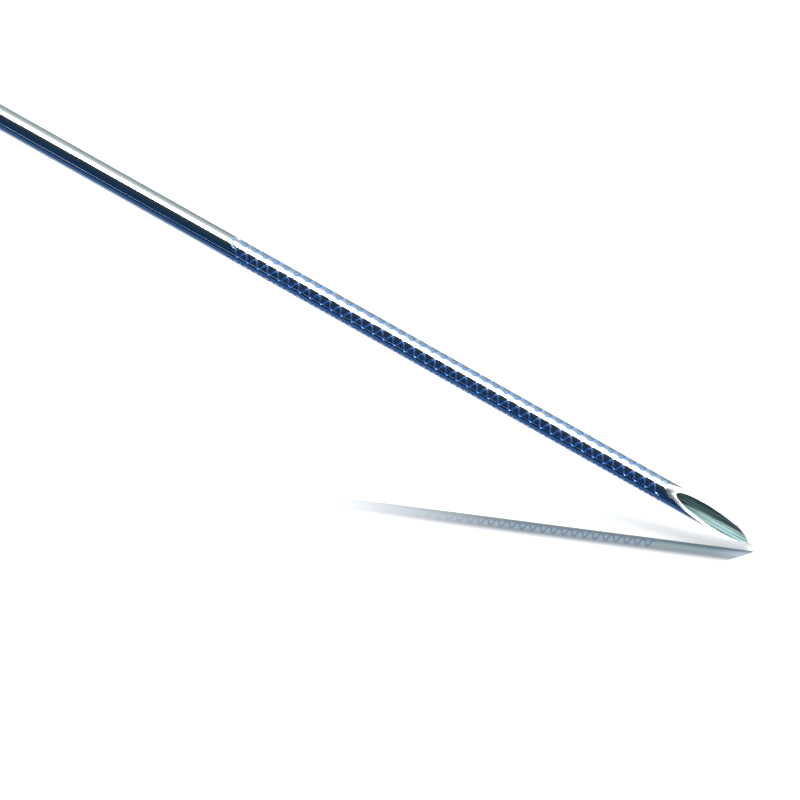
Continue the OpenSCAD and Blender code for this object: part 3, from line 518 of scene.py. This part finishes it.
def stitch(bm, front, front_angles, back, back_angles):
    """Triangles between two rings with different angles, both starting at the same one."""
    i = j = 0
    whole = 2 * math.pi
    a = list(front_angles) + [front_angles[0] + whole]
    b = list(back_angles) + [back_angles[0] + whole]
    while i < len(front) or j < len(back):
        p, q = front[i % len(front)], back[j % len(back)]
        if j >= len(back) or (i < len(front) and a[i + 1] <= b[j + 1]):
            bm.faces.new((p, q, front[(i + 1) % len(front)]))
            i += 1
        else:
            bm.faces.new((p, q, back[(j + 1) % len(back)]))
            j += 1


def groove_depth(t, depth):
    """Depth at t half widths from a line's middle: sloped walls and a flat floor."""
    return depth * min(1.0, max(0.0, (1.0 - abs(t)) / WALL_SHARE))


def line_angle(k, sway):
    """Where line k lies round the axis, with the wave's sway added."""
    return TOWARDS_VIEW - FIRST_LINE - k * 2 * math.pi / LINES + sway


def band_ring(bm, sizes, n, along):
    """One ring of the wavy band. Its vertices follow the lines, so each edge stays crisp."""
    r = sizes.diameter / 2 / MM
    wave = sizes.wave / MM
    sway = sizes.swing * math.cos(2 * math.pi * along / wave)
    slope = -r * sizes.swing * 2 * math.pi / wave * math.sin(2 * math.pi * along / wave)
    half = sizes.line / 2 / MM * math.hypot(1, slope) / r
    pitch = 2 * math.pi / LINES
    angles, radii = [], []
    for k in range(LINES):
        middle = line_angle(-k, sway)
        for t in (-1, WALL_SHARE - 1, 0, 1 - WALL_SHARE, 1):
            angles.append(middle + t * half)
            radii.append(r - groove_depth(t, sizes.depth / MM))
        for share in (0.2, 0.4, 0.6, 0.8):
            angles.append(middle + half + share * (pitch - 2 * half))
            radii.append(r)
    return ring(bm, n, angles, radii), angles


def turn_ring(bm, sizes, n, past, sway, start, first):
    """One ring of the zone where the lines turn back in half circles, past beyond the band."""
    r = sizes.diameter / 2 / MM
    half = sizes.line / 2 / MM
    pitch = 2 * math.pi / LINES
    angles = [start + 2 * math.pi * i / ROUND for i in range(ROUND)]
    radii = []
    for a in angles:
        near = math.inf
        for k in range(first, LINES + first, 2):
            middle = (line_angle(k, sway) + line_angle(k + 1, sway)) / 2
            off = math.remainder(a - middle, 2 * math.pi)
            near = min(near, abs(math.hypot(r * off, past) - r * pitch / 2))
        radii.append(r - groove_depth(near / half, sizes.depth / MM))
    return ring(bm, n, angles, radii), angles


def turn_zone(bm, sizes, edge, edge_angles, n_edge, way, sway, first):
    """The fine rings from the band's edge over the half circles. way is -1 towards the point."""
    reach = sizes.diameter / 2 / MM * math.pi / LINES + sizes.line / MM
    last, last_angles = edge, edge_angles
    past = TURN_STEP / 2
    while past < reach:
        now, angles = turn_ring(bm, sizes, n_edge + way * past, past, sway, edge_angles[0], first)
        pair = (now, last) if way < 0 else (last, now)
        if len(now) == len(last):
            skin(bm, *pair)
        elif way < 0:
            stitch(bm, now, angles, last, last_angles)
        else:
            stitch(bm, last, last_angles, now, angles)
        last, last_angles = now, angles
        past += TURN_STEP
    return last, last_angles


def half_space(normal, through, size=6.0):
    """A block whose one face passes through a point and faces against normal: all of it lies
    on the side that normal points to."""
    deselect()
    bpy.ops.mesh.primitive_cube_add(size=size)
    block = bpy.context.object
    turn = normal.to_track_quat("Z", "Y").to_matrix().to_4x4()
    shift = Matrix.Translation(through + normal.normalized() * size / 2)
    block.data.transform(shift @ turn)
    return block


def point_planes(sizes):
    """The three ground planes of the point: (normal, a point on the plane), in millimetres."""
    r = sizes.diameter / 2 / MM
    reach = r / math.tan(sizes.bevel)
    length, turned, taken = sizes.facet_length / MM, sizes.facet_turn, sizes.facet_cut / MM
    edge_y = (length + taken - reach) * math.tan(sizes.bevel)
    edge_x = math.sqrt(r * r - edge_y * edge_y)
    facet = math.atan((edge_x * math.sin(turned) + (edge_y + r) * math.cos(turned)) / length)
    heel = math.pi / 2 + sizes.bevel_roll
    planes = []
    for turn, angle, foot, back in (
            (0, sizes.bevel, 0, reach - taken),
            (turned, facet, r * math.cos(turned), 0),
            (-turned, facet, r * math.cos(turned), 0)):
        side = Vector((math.cos(heel + turn), math.sin(heel + turn), 0))
        normal = side * math.cos(angle) + Vector((0, 0, math.sin(angle)))
        planes.append((normal, -side * foot + Vector((0, 0, -back))))
    return planes


def point_corner(sizes):
    """The sharp corner of the point, in the model's frame."""
    heel = math.pi / 2 + sizes.bevel_roll
    r = sizes.diameter / 2 / MM
    return cannula_place() @ Vector((-r * math.cos(heel), -r * math.sin(heel), 0))


def hone_edges(needle, width):
    """A small chamfer along the edges of the ground faces, as deburring leaves."""
    bm = bmesh.new()
    bm.from_mesh(needle.data)
    weight = bm.edges.layers.float.new("bevel_weight_edge")
    for edge in bm.edges:
        if len({face.material_index == GROUND for face in edge.link_faces}) == 2:
            edge[weight] = 1.0
    bm.to_mesh(needle.data)
    bm.free()
    apply_modifier(needle, "BEVEL", limit_method="WEIGHT", width=width, segments=1)


def cannula_mesh(sizes):
    """The closed tube, etched and not yet ground, in millimetres along its own axis."""
    bm = bmesh.new()
    r, bore = sizes.diameter / 2 / MM, sizes.bore / 2 / MM
    first = sizes.band_start / MM
    wave = sizes.wave / MM
    rows = int(round(sizes.waves * PER_WAVE))
    edge, edge_angles = band_ring(bm, sizes, first, 0)
    front_edge, front_angles = edge, edge_angles
    columns = len(edge) // LINES
    for i in range(1, rows + 1):
        along = wave * i / PER_WAVE
        now, angles = band_ring(bm, sizes, first + along, along)
        skin(bm, edge, now, lambda c: GROOVE if c % columns < 4 else SKIN)
        edge, edge_angles = now, angles
    last_n = first + wave * rows / PER_WAVE
    end_sway = sizes.swing * math.cos(2 * math.pi * rows / PER_WAVE)
    front, fa = turn_zone(bm, sizes, front_edge, front_angles, first, -1, sizes.swing, -1)
    back, ba = turn_zone(bm, sizes, edge, edge_angles, last_n, 1, end_sway, 0)
    tip = ring(bm, -PAST_POINT, fa, [r] * ROUND)
    skin(bm, tip, front)
    tail = ring(bm, sizes.length / MM, ba, [r] * ROUND)
    skin(bm, back, tail)
    bore_a, bore_b = ([start + 2 * math.pi * i / BORE_ROUND for i in range(BORE_ROUND)]
                      for start in (fa[0], ba[0]))
    inner_tip = ring(bm, -PAST_POINT, bore_a, [bore] * BORE_ROUND)
    inner_tail = ring(bm, sizes.length / MM, bore_b, [bore] * BORE_ROUND)
    shift = round((ba[0] - fa[0]) * BORE_ROUND / (2 * math.pi))
    turned = [inner_tail[(i - shift) % BORE_ROUND] for i in range(BORE_ROUND)]
    skin(bm, turned, inner_tip)
    stitch(bm, inner_tip, bore_a, tip, fa)
    stitch(bm, tail, ba, inner_tail, bore_b)
    bmesh.ops.recalc_face_normals(bm, faces=bm.faces)
    mesh = bpy.data.meshes.new("needle_point")
    bm.to_mesh(mesh)
    bm.free()
    return mesh


class NEEDLE_OT_point(bpy.types.Operator):
    """The cannula's end: bevel and lancet facets ground on it, and the etched band round it"""
    bl_idname = "needle.point"
    bl_label = "Needle point"

    def execute(self, context):
        sizes = context.scene.needle_point
        colours = context.scene.needle_colours
        mesh = cannula_mesh(sizes)
        needle = bpy.data.objects.new("needle_point", mesh)
        context.scene.collection.objects.link(needle)
        planes = point_planes(sizes)
        for normal, through in planes:
            block = half_space(normal, through)
            apply_modifier(needle, "BOOLEAN", operation="DIFFERENCE", object=block,
                           solver="EXACT")
            bpy.data.objects.remove(block)
        for mat in (drawn_cannula("drawn_electropolished_cannula", colours.cannula),
                    # The groove's blue stands partly for heat tint and partly for a painted
                    # reflection of blue light.
                    etched_groove("laser_etched_groove", linear("#4a8fe0")[:3]),
                    ground_face("ground_bevel"), reamed_bore("reamed_bore")):
            mesh.materials.append(mat)
        r, bore = sizes.diameter / 2 / MM, sizes.bore / 2 / MM
        grooved = r - sizes.depth / MM / 2
        for face in mesh.polygons:
            if any(abs(face.normal.dot(normal)) > 0.9999 for normal, _ in planes):
                face.material_index = GROUND
                continue
            spots = [mesh.vertices[v].co for v in face.vertices]
            reach = sum(math.hypot(c.x, c.y) for c in spots) / len(spots)
            if reach < (bore + r) / 2 and face.normal.xy.length > 0.5:
                face.material_index = INSIDE
            elif reach < grooved:
                face.material_index = GROOVE
        hone_edges(needle, sizes.honed / MM)
        only(needle)
        bpy.ops.object.shade_smooth_by_angle(angle=math.radians(28))
        mesh.transform(cannula_place())
        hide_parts("needle_tip")
        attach(needle, "needle")
        return {"FINISHED"}


# The sheath --------------------------------------------------------------------------------------

def hop(points):
    """A smooth line through the points: Catmull-Rom, three steps to a span."""
    pts = [Vector(p) for p in points]
    out = []
    for i in range(len(pts) - 1):
        a = pts[max(i - 1, 0)]
        b, c = pts[i], pts[i + 1]
        d = pts[min(i + 2, len(pts) - 1)]
        for step in range(3):
            t = step / 3
            out.append(0.5 * (2 * b + (c - a) * t + (2 * a - 5 * b + 4 * c - d) * t ** 2
                              + (3 * b - a - 3 * c + d) * t ** 3))
    return out + [pts[-1]]


def coil_at(turn):
    """A point of the coil, so many turns from its start."""
    ease = min(max((turn - COIL["turns"] / 2) / COIL["climb"] + 0.5, 0), 1)
    ease = ease * ease * (3 - 2 * ease)
    r = COIL["radius"] - COIL["pitch"] * min(turn, COIL["turns"] - turn)
    angle = math.radians(90 + 360 * turn)
    return Vector((COIL["centre"][0] + r * math.cos(angle),
                   COIL["centre"][1] + r * math.sin(angle), COIL["z"] + COIL["layer"] * ease))


def sheath_line():
    """The sheath's whole middle line in metres, from the connector's mouth to its end ring."""
    start, end = coil_at(0), coil_at(COIL["turns"])
    nudge = Vector((STUB, 0, 0))
    # Inside the connector the sheath is straight, so three points are enough there.
    inside = [Vector(p) for p in LEAD_POINTS[:3]]
    lead = hop(LEAD_POINTS[:1] + LEAD_POINTS + [start + nudge])
    lead = inside + [p for p in lead if p.x > MOUTH or p.y > MOUTH]
    steps = 54
    coil = [coil_at(COIL["turns"] * i / (steps * COIL["turns"]))
            for i in range(steps * COIL["turns"] + 1)]
    run = hop([end - nudge] + RUN_POINTS
              + [POINT + BACK * (STRAIGHT[0] + STUB), POINT + BACK * STRAIGHT[0]])
    line = lead + coil + run + [POINT + BACK * STRAIGHT[1]]
    return [p * MM for p in line]


class NEEDLE_OT_sheath(bpy.types.Operator):
    """The flexible sheath: out of the connector, round its storage coil, and on to the needle"""
    bl_idname = "needle.sheath"
    bl_label = "Sheath"

    def execute(self, context):
        sizes = context.scene.needle_sheath
        line = sheath_line()
        around, r = 20, sizes.diameter / 2
        bm = bmesh.new()
        uv = bm.loops.layers.uv.new("along")
        up, last, far = Vector((0, 0, 1)), None, 0.0
        for i, p in enumerate(line):
            ahead = (line[min(i + 1, len(line) - 1)] - line[max(i - 1, 0)]).normalized()
            side = ahead.cross(up).normalized()
            up = side.cross(ahead).normalized()
            now = [bm.verts.new(p + side * r * math.cos(a) + up * r * math.sin(a))
                   for a in (2 * math.pi * k / around for k in range(around))]
            if last:
                span = (p - line[i - 1]).length
                for k in range(around):
                    j = (k + 1) % around
                    face = bm.faces.new((last[k], last[j], now[j], now[k]))
                    for loop, (u, v) in zip(face.loops, (
                            (k, far), (k + 1, far), (k + 1, far + span), (k, far + span))):
                        loop[uv].uv = (u / around, v)
                far += span
            else:
                bm.faces.new(list(reversed(now)))
            last = now
        bm.faces.new(last)
        bmesh.ops.recalc_face_normals(bm, faces=bm.faces)
        mesh = bpy.data.meshes.new("sheath")
        bm.to_mesh(mesh)
        bm.free()
        sheath = bpy.data.objects.new("sheath", mesh)
        context.scene.collection.objects.link(sheath)
        mesh.materials.append(extruded_sheath("extruded_sheath",
                                              context.scene.needle_colours.sheath))
        only(sheath)
        bpy.ops.object.shade_smooth_by_angle(angle=math.radians(40))
        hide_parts("sheath_lead", "sheath_coil", "sheath_run", "sheath_distal")
        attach(sheath, "handle")
        on_it = cad("sheath_end_ring", "coil_clip", "stylet_tip")
        on_it.append(bpy.data.objects["needle_point"])
        return {"FINISHED"}


# Scale and finishes of the handle ----------------------------------------------------------------

# Half the thickness of the print, in metres, a number's height as a share of its font's size,
# and the share of a mark's width that its round ends take.
PRINT = 0.02 * MM
CAP_SHARE = 0.7
END_SHARE = 0.3
# How far back from its centimetre a number stands, in its own heights.
NUMBER_BACK = 1.3
# In half widths of the flat: a long mark, a short one, and how far out their middles lie.
LONG_MARK, SHORT_MARK, MARK_OUT = 0.55, 0.35, 0.55


def flat_number(text, height, place):
    """A printed number as a thin mesh, its middle at place's origin and its top along its Y."""
    deselect()
    bpy.ops.object.text_add()
    obj = bpy.context.object
    obj.data.body = text
    obj.data.size = height / CAP_SHARE
    obj.data.align_x, obj.data.align_y = "CENTER", "CENTER"
    obj.data.extrude = PRINT
    obj.data.resolution_u = 4
    bpy.ops.object.convert(target="MESH")
    obj.data.transform(place)
    return obj


def printed_bar(width, length, place):
    """A printed mark: a thin bar with rounded ends, flat in place's XY plane."""
    deselect()
    bpy.ops.mesh.primitive_cube_add(size=1)
    obj = bpy.context.object
    obj.data.transform(Matrix.Diagonal((width, length, 2 * PRINT, 1)))
    only(obj)
    bpy.ops.object.mode_set(mode="EDIT")
    bpy.ops.mesh.select_all(action="DESELECT")
    edges = bmesh.from_edit_mesh(obj.data)
    for e in edges.edges:
        e.select = abs(e.verts[0].co.z - e.verts[1].co.z) > PRINT
    bmesh.update_edit_mesh(obj.data)
    bpy.ops.mesh.bevel(offset=min(width, length) * END_SHARE, segments=3, affect="EDGES")
    bpy.ops.object.mode_set(mode="OBJECT")
    obj.data.transform(place)
    return obj


class NEEDLE_OT_scales(bpy.types.Operator):
    """Printed millimetre marks and centimetre numbers on the flat of the stem"""
    bl_idname = "needle.scales"
    bl_label = "Scales"

    def execute(self, context):
        sizes = context.scene.needle_scale
        ink = pad_ink("pad_printed_ink", context.scene.needle_colours.print_ink)
        top = sizes.flat + PRINT
        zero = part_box("plunger_upper_shell")[1][0]
        stop_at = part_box("stop_ring")[0][0]
        across = math.sqrt((sizes.stem / 2) ** 2 - sizes.flat ** 2)
        marks = []
        for i in range(1, sizes.numbers + 1):
            x = zero + i * 10 * MM
            if x > stop_at - sizes.number_height:
                break
            place = Matrix.Translation((x - NUMBER_BACK * sizes.number_height, 0, top))
            marks.append(flat_number(str(i), sizes.number_height,
                                     place @ Matrix.Rotation(-math.pi / 2, 4, "Z")))
            # The number stands in the room of the third and fourth marks.
            for count in (1, 2, 5, 6, 7, 8, 9):
                wide = across * (LONG_MARK if count == 5 else SHORT_MARK)
                marks.append(printed_bar(sizes.mark_width, wide, Matrix.Translation(
                    (x - count * MM, across * MARK_OUT, top))))
        scale = join(marks, "stem_scale")
        finish_with([scale], ink)
        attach(scale, "plunger")
        return {"FINISHED"}


class NEEDLE_OT_finishes(bpy.types.Operator):
    """Finishes of the pieces whose shape comes from the CAD model"""
    bl_idname = "needle.finishes"
    bl_label = "Handle finishes"

    def execute(self, context):
        c = context.scene.needle_colours
        white = moulded_abs("moulded_white_abs", c.shell)
        blue = moulded_abs("moulded_blue_abs", c.accent, roughness=0.32)
        grey = moulded_abs("moulded_grey_abs", c.barrel, roughness=0.42)
        steel = turned_steel("turned_stainless", linear("#c4c9cb"))
        screw = turned_steel("turned_screw_steel", linear("#b4babd"), 0.3, "Z")
        tube = turned_steel("drawn_guide_tube", linear("#ccd1d3"), 0.16)
        rubber = moulded_rubber("moulded_nitrile")
        clear = clear_polycarbonate("clear_polycarbonate", linear("#dfe9ee"))
        wire = drawn_cannula("drawn_stylet_wire", linear("#aeb4b6")[:3])
        rim = turned_steel("sheath_end_ring_steel", linear("#d2d6d8"), 0.2, "Y")
        root = moulded_abs("extruded_sheath_root", c.sheath, roughness=0.28)
        for names, mat in (
                (("grip_upper_shell", "grip_lower_shell", "plunger_upper_shell",
                  "plunger_lower_shell", "ruler_stem", "luer_connector"), white),
                (("luer_collar", "front_ring", "stop_ring", "stop_lock_knob",
                  "sheath_lock_knob", "plunger_nose", "stylet_cap", "coil_clip"), blue),
                (("adjuster_sleeve", "front_barrel", "barrel_retainer", "stem_bush",
                  "sheath_anchor"), grey),
                (("sheath_lock_shank", "stop_lock_shank"), steel),
                (("grip_screws", "plunger_screws"), screw),
                (("guide_tube", "needle_shaft"), tube),
                (("sleeve_seal", "stem_seal", "hub_washer"), rubber),
                (("needle_hub",), clear), (("stylet_wire", "stylet_tip"), wire),
                (("sheath_end_ring",), rim), (("sheath_root",), root)):
            finish_with(cad(*names), mat)
        return {"FINISHED"}


# Camera, stage and panel -------------------------------------------------------------------------

class NEEDLE_OT_camera(bpy.types.Operator):
    """The photograph's view: a long lens, square to the needle's axis and 52 degrees up"""
    bl_idname = "needle.camera"
    bl_label = "Camera"

    def execute(self, context):
        s = context.scene.needle_stage
        az, el = s.azimuth, s.elevation
        right = Vector((math.cos(az), math.sin(az), 0))
        to_eye = Vector((math.sin(az) * math.cos(el), -math.cos(az) * math.cos(el),
                         math.sin(el)))
        up = to_eye.cross(right)
        aim = (point_corner(context.scene.needle_point) - right * s.point_right
               + up * s.point_down)
        deselect()
        bpy.ops.object.camera_add(location=aim + to_eye * s.distance)
        camera = bpy.context.object
        turn = Matrix((right, up, to_eye)).transposed().to_4x4()
        camera.matrix_world = Matrix.Translation(aim + to_eye * s.distance) @ turn
        camera.name = "camera"
        camera.data.lens = camera.data.sensor_width * s.distance / s.width
        camera.data.clip_start, camera.data.clip_end = 0.01, 20
        context.scene.camera = camera
        return {"FINISHED"}


# What the steel mirrors, by the angle about the needle's axis from the camera, in degrees.
ROOM = (
    (-180, "#3a76b4"), (-150, "#3f86d0"), (-124, "#2d6fb5"), (-110, "#17467e"), (-93, "#123a6b"),
    (-89, "#4f93e6"), (-84, "#4f93e6"), (-80, "#10355f"), (-24, "#163d66"), (10, "#33424a"),
    (33, "#4b5759"), (37, "#ffffff"), (84, "#ffffff"), (100, "#cfd9d9"), (124, "#9db1b3"),
    (150, "#7d98a3"), (166, "#4d7391"), (180, "#3a76b4"))
# How far a direction leans past the point where the room starts to open, and where it is open.
OPEN_END = (0.22, 0.36)


def room_colour(tree, towards):
    """The room's colour in the direction towards, a vector socket."""
    towards = add_node(tree, "ShaderNodeVectorMath", [(towards, 0)],
                       operation="NORMALIZE").outputs["Vector"]
    turn = cannula_place().to_3x3()
    view, up = ((turn @ Vector((math.cos(a), math.sin(a), 0))).normalized()
                for a in (TOWARDS_VIEW, TOWARDS_VIEW - math.pi / 2))
    parts = []
    for side in (up, view):
        node = add_node(tree, "ShaderNodeVectorMath", [(towards, 0)], operation="DOT_PRODUCT")
        node.inputs[1].default_value = side
        parts.append(node.outputs["Value"])
    angle = add_node(tree, "ShaderNodeMath", [(parts[0], 0), (parts[1], 1)],
                     operation="ARCTAN2")
    share = add_node(tree, "ShaderNodeMapRange", [(angle.outputs[0], "Value")],
                     From_Min=-math.pi, From_Max=math.pi)
    ramp = add_node(tree, "ShaderNodeValToRGB", [(share.outputs["Result"], "Fac")])
    stops = ramp.color_ramp.elements
    while len(stops) < len(ROOM):
        stops.new(0.5)
    for stop, (degrees, hexa) in zip(stops, ROOM):
        stop.position = (degrees + 180) / 360
        stop.color = linear(hexa)
    # Past the point the room is open and white, so the ground faces, which lean that way,
    # stay bright.
    ahead = add_node(tree, "ShaderNodeVectorMath", [(towards, 0)], operation="DOT_PRODUCT")
    ahead.inputs[1].default_value = -BACK
    open_end = add_node(tree, "ShaderNodeMapRange", [(ahead.outputs["Value"], "Value")],
                        From_Min=OPEN_END[0], From_Max=OPEN_END[1])
    whole = add_node(tree, "ShaderNodeMix", [(open_end.outputs["Result"], "Factor"),
                                             (ramp.outputs["Color"], 6)], data_type="RGBA")
    whole.inputs[7].default_value = (1, 1, 1, 1)
    return whole.outputs[2]


# The needle's image in the table: the line of its far edge from the point, and then in metres
# where it fades on the near and on the far side of that line, how far back from the point it
# takes its tint and fades out, and how far from the point the table glows with the room's
# colour in mirrors, a painted reflection.
# Each of these is whole up to its first value and gone at its second. share is how much the
# table mirrors outside and inside the image.
MIRROR = {"turn": math.radians(104.4), "near": (0.28 * MM, 0.72 * MM),
          "beyond": (0.01 * MM, 0.04 * MM), "tints": (0.3 * MM, 1.5 * MM),
          "fades": (7 * MM, 18 * MM), "room": (0.12, 0.25), "share": (0.03, 0.88)}


def table_lacquer():
    """Glossy white lacquer: white all over, mirroring the needle's point just in front of it. Its
    glow is painted light that lifts shadows to white, and in mirrors near the needle the table
    glows with the room's colour round the needle, a painted reflection."""
    mat, tree, shader, place = new_material("glossy_white_table")
    shader.inputs["Base Color"].default_value = linear("#fbfbfb")
    shader.inputs["Roughness"].default_value = 0.6
    # Painted light: the table's own glow takes the shadows under the needle up to white.
    shader.inputs["Emission Color"].default_value = (1, 1, 1, 1)
    shader.inputs["Emission Strength"].default_value = 0.15
    mirror = add_node(tree, "ShaderNodeBsdfGlossy", Color=linear("#ffffff"), Roughness=0.02)
    from_point = add_node(tree, "ShaderNodeVectorMath", [(place, 0)], operation="SUBTRACT")
    from_point.inputs[1].default_value = (POINT.x * MM, POINT.y * MM, FLOOR_Z)
    # The mirrored needle lies along this line on the table.
    turn = MIRROR["turn"]
    along = Vector((math.cos(turn), math.sin(turn), 0))
    parts = []
    for side in (along, Vector((-along.y, along.x, 0))):
        node = add_node(tree, "ShaderNodeVectorMath", [(from_point.outputs["Vector"], 0)],
                        operation="DOT_PRODUCT")
        node.inputs[1].default_value = side
        parts.append(node.outputs["Value"])
    behind = add_node(tree, "ShaderNodeMath", [(parts[1], 0)], operation="MULTIPLY")
    behind.inputs[1].default_value = -1.0
    far = add_node(tree, "ShaderNodeVectorMath", [(from_point.outputs["Vector"], 0)],
                   operation="LENGTH")
    within = {}
    for limit, value in (("near", parts[1]), ("beyond", behind.outputs[0]),
                         ("fades", parts[0]), ("tints", parts[0]),
                         ("room", far.outputs["Value"])):
        whole, gone = MIRROR[limit]
        within[limit] = add_node(tree, "ShaderNodeMapRange", [(value, "Value")],
                                 interpolation_type="SMOOTHSTEP", From_Min=whole,
                                 From_Max=gone, To_Min=1.0, To_Max=0.0).outputs["Result"]
    strip = within["near"]
    for limit in ("beyond", "fades"):
        strip = add_node(tree, "ShaderNodeMath", [(strip, 0), (within[limit], 1)],
                         operation="MULTIPLY").outputs[0]
    share = add_node(tree, "ShaderNodeMapRange", [(strip, "Value")],
                     To_Min=MIRROR["share"][0], To_Max=MIRROR["share"][1])
    # The lacquer takes some red out of the image, less so at the needle's point.
    tint = add_node(tree, "ShaderNodeMix", [(within["tints"], "Factor")], data_type="RGBA")
    tint.inputs[6].default_value = linear("#bcd6ca")
    tint.inputs[7].default_value = (1, 1, 1, 1)
    tree.links.new(tint.outputs[2], mirror.inputs["Color"])
    lacquer = add_node(tree, "ShaderNodeMixShader", [
        (share.outputs["Result"], 0), (shader.outputs[0], 1), (mirror.outputs[0], 2)])
    # Painted reflection: to glossy rays near the point, the table glows with the room's colour as
    # seen from the needle's axis above it.
    spot = add_node(tree, "ShaderNodeSeparateXYZ", [(from_point.outputs["Vector"], "Vector")])
    # How far the table lies below the needle's axis, straight down.
    below = FLOOR_Z - POINT.z * MM
    drop = add_node(tree, "ShaderNodeMath", [(spot.outputs["Y"], 0)],
                    operation="MULTIPLY_ADD")
    drop.inputs[1].default_value = -math.tan(SLOPE)
    drop.inputs[2].default_value = below
    under = add_node(tree, "ShaderNodeMath", [(drop.outputs[0], 0)], operation="MINIMUM")
    under.inputs[1].default_value = below
    apart = add_node(tree, "ShaderNodeCombineXYZ", [(spot.outputs["X"], "X"),
                                                    (under.outputs[0], "Z")])
    seen = add_node(tree, "ShaderNodeEmission",
                    [(room_colour(tree, apart.outputs["Vector"]), "Color")])
    path = add_node(tree, "ShaderNodeLightPath")
    both = add_node(tree, "ShaderNodeMath", [
        (path.outputs["Is Glossy Ray"], 0), (within["room"], 1)], operation="MULTIPLY")
    top = add_node(tree, "ShaderNodeMixShader", [
        (both.outputs[0], 0), (lacquer.outputs[0], 1), (seen.outputs[0], 2)])
    tree.links.new(top.outputs[0], tree.nodes["Material Output"].inputs["Surface"])
    return mat


# Soft square lamps: where each hangs and its size, in metres, and its power in watts.
LAMPS = {"key": ((0.08, -0.32, 0.75), 0.42, 6.0), "fill": ((0.5, -0.75, 0.55), 0.8, 3.0),
         "back": ((0.1, 0.85, 0.6), 0.7, 3.0)}
LAMPS_AIM = Vector((-0.12, 0, 0))


class NEEDLE_OT_stage(bpy.types.Operator):
    """White glossy table, white surroundings, a room that the steel mirrors, and soft lamps"""
    bl_idname = "needle.stage"
    bl_label = "Stage"

    def execute(self, context):
        scene = context.scene
        scene.view_settings.view_transform = "Standard"
        world = bpy.data.worlds.new("white_room")
        scene.world = world
        world.use_nodes = True
        tree = world.node_tree
        ground = tree.nodes["Background"]
        ground.inputs["Color"].default_value = linear("#eef0f2")
        ground.inputs["Strength"].default_value = 0.7
        towards = add_node(tree, "ShaderNodeTexCoord").outputs["Generated"]
        path = add_node(tree, "ShaderNodeLightPath")
        bright = add_node(tree, "ShaderNodeBackground", Color=(1, 1, 1, 1), Strength=1.0)
        mirrored = add_node(tree, "ShaderNodeBackground",
                            [(room_colour(tree, towards), "Color")], Strength=1.0)
        open_ray = add_node(tree, "ShaderNodeMath", [(path.outputs["Is Camera Ray"], 0),
                                                     (path.outputs["Is Transmission Ray"], 1)],
                            operation="MAXIMUM")
        seen = add_node(tree, "ShaderNodeMixShader", [(open_ray.outputs[0], 0),
                                                      (ground.outputs[0], 1),
                                                      (bright.outputs[0], 2)])
        mix = add_node(tree, "ShaderNodeMixShader", [(path.outputs["Is Glossy Ray"], 0),
                                                     (seen.outputs[0], 1),
                                                     (mirrored.outputs[0], 2)])
        tree.links.new(mix.outputs[0], tree.nodes["World Output"].inputs["Surface"])

        deselect()
        bpy.ops.mesh.primitive_plane_add(size=6, location=(0, 0, FLOOR_Z))
        floor = bpy.context.object
        floor.name = "table"
        floor.data.materials.append(table_lacquer())
        floor.data.transform(Matrix.Translation(floor.location))
        floor.location = (0, 0, 0)

        for name, (where, size, power) in LAMPS.items():
            deselect()
            bpy.ops.object.light_add(type="AREA", location=where)
            lamp = bpy.context.object
            lamp.name = name
            lamp.data.size = size
            lamp.data.energy = power
            lamp.rotation_euler = (LAMPS_AIM - Vector(where)).to_track_quat(
                "-Z", "Y").to_euler()
        return {"FINISHED"}


class NEEDLE_PT_panel(bpy.types.Panel):
    """Sizes, colours and the steps that build the needle's looks"""
    bl_label = "Endoscopic ultrasound needle"
    bl_idname = "NEEDLE_PT_panel"
    bl_space_type = "VIEW_3D"
    bl_region_type = "UI"
    bl_category = "Needle"

    def draw(self, context):
        for group in GROUPS:
            box = self.layout.box()
            settings = getattr(context.scene, group)
            for key in settings.bl_rna.properties.keys():
                if key not in ("name", "rna_type"):
                    box.prop(settings, key)
        for step in STEPS:
            self.layout.operator(step.bl_idname)


GROUPS = {"needle_point": NeedlePointSizes, "needle_sheath": SheathSizes,
          "needle_scale": ScaleSizes, "needle_colours": FinishColours,
          "needle_stage": StageSettings}
STEPS = (NEEDLE_OT_camera, NEEDLE_OT_point, NEEDLE_OT_sheath, NEEDLE_OT_scales,
         NEEDLE_OT_finishes, NEEDLE_OT_stage)


def register():
    for group in GROUPS.values():
        bpy.utils.register_class(group)
    for name, group in GROUPS.items():
        setattr(bpy.types.Scene, name, bpy.props.PointerProperty(type=group))
    for cls in (*STEPS, NEEDLE_PT_panel):
        bpy.utils.register_class(cls)


def unregister():
    for cls in (NEEDLE_PT_panel, *reversed(STEPS)):
        bpy.utils.unregister_class(cls)
    for name, group in GROUPS.items():
        delattr(bpy.types.Scene, name)
        bpy.utils.unregister_class(group)


def main():
    register()
    bpy.ops.needle.camera()
    bpy.ops.needle.point()
    bpy.ops.needle.sheath()
    bpy.ops.needle.scales()
    bpy.ops.needle.finishes()
    bpy.ops.needle.stage()


if __name__ == "__main__":
    main()
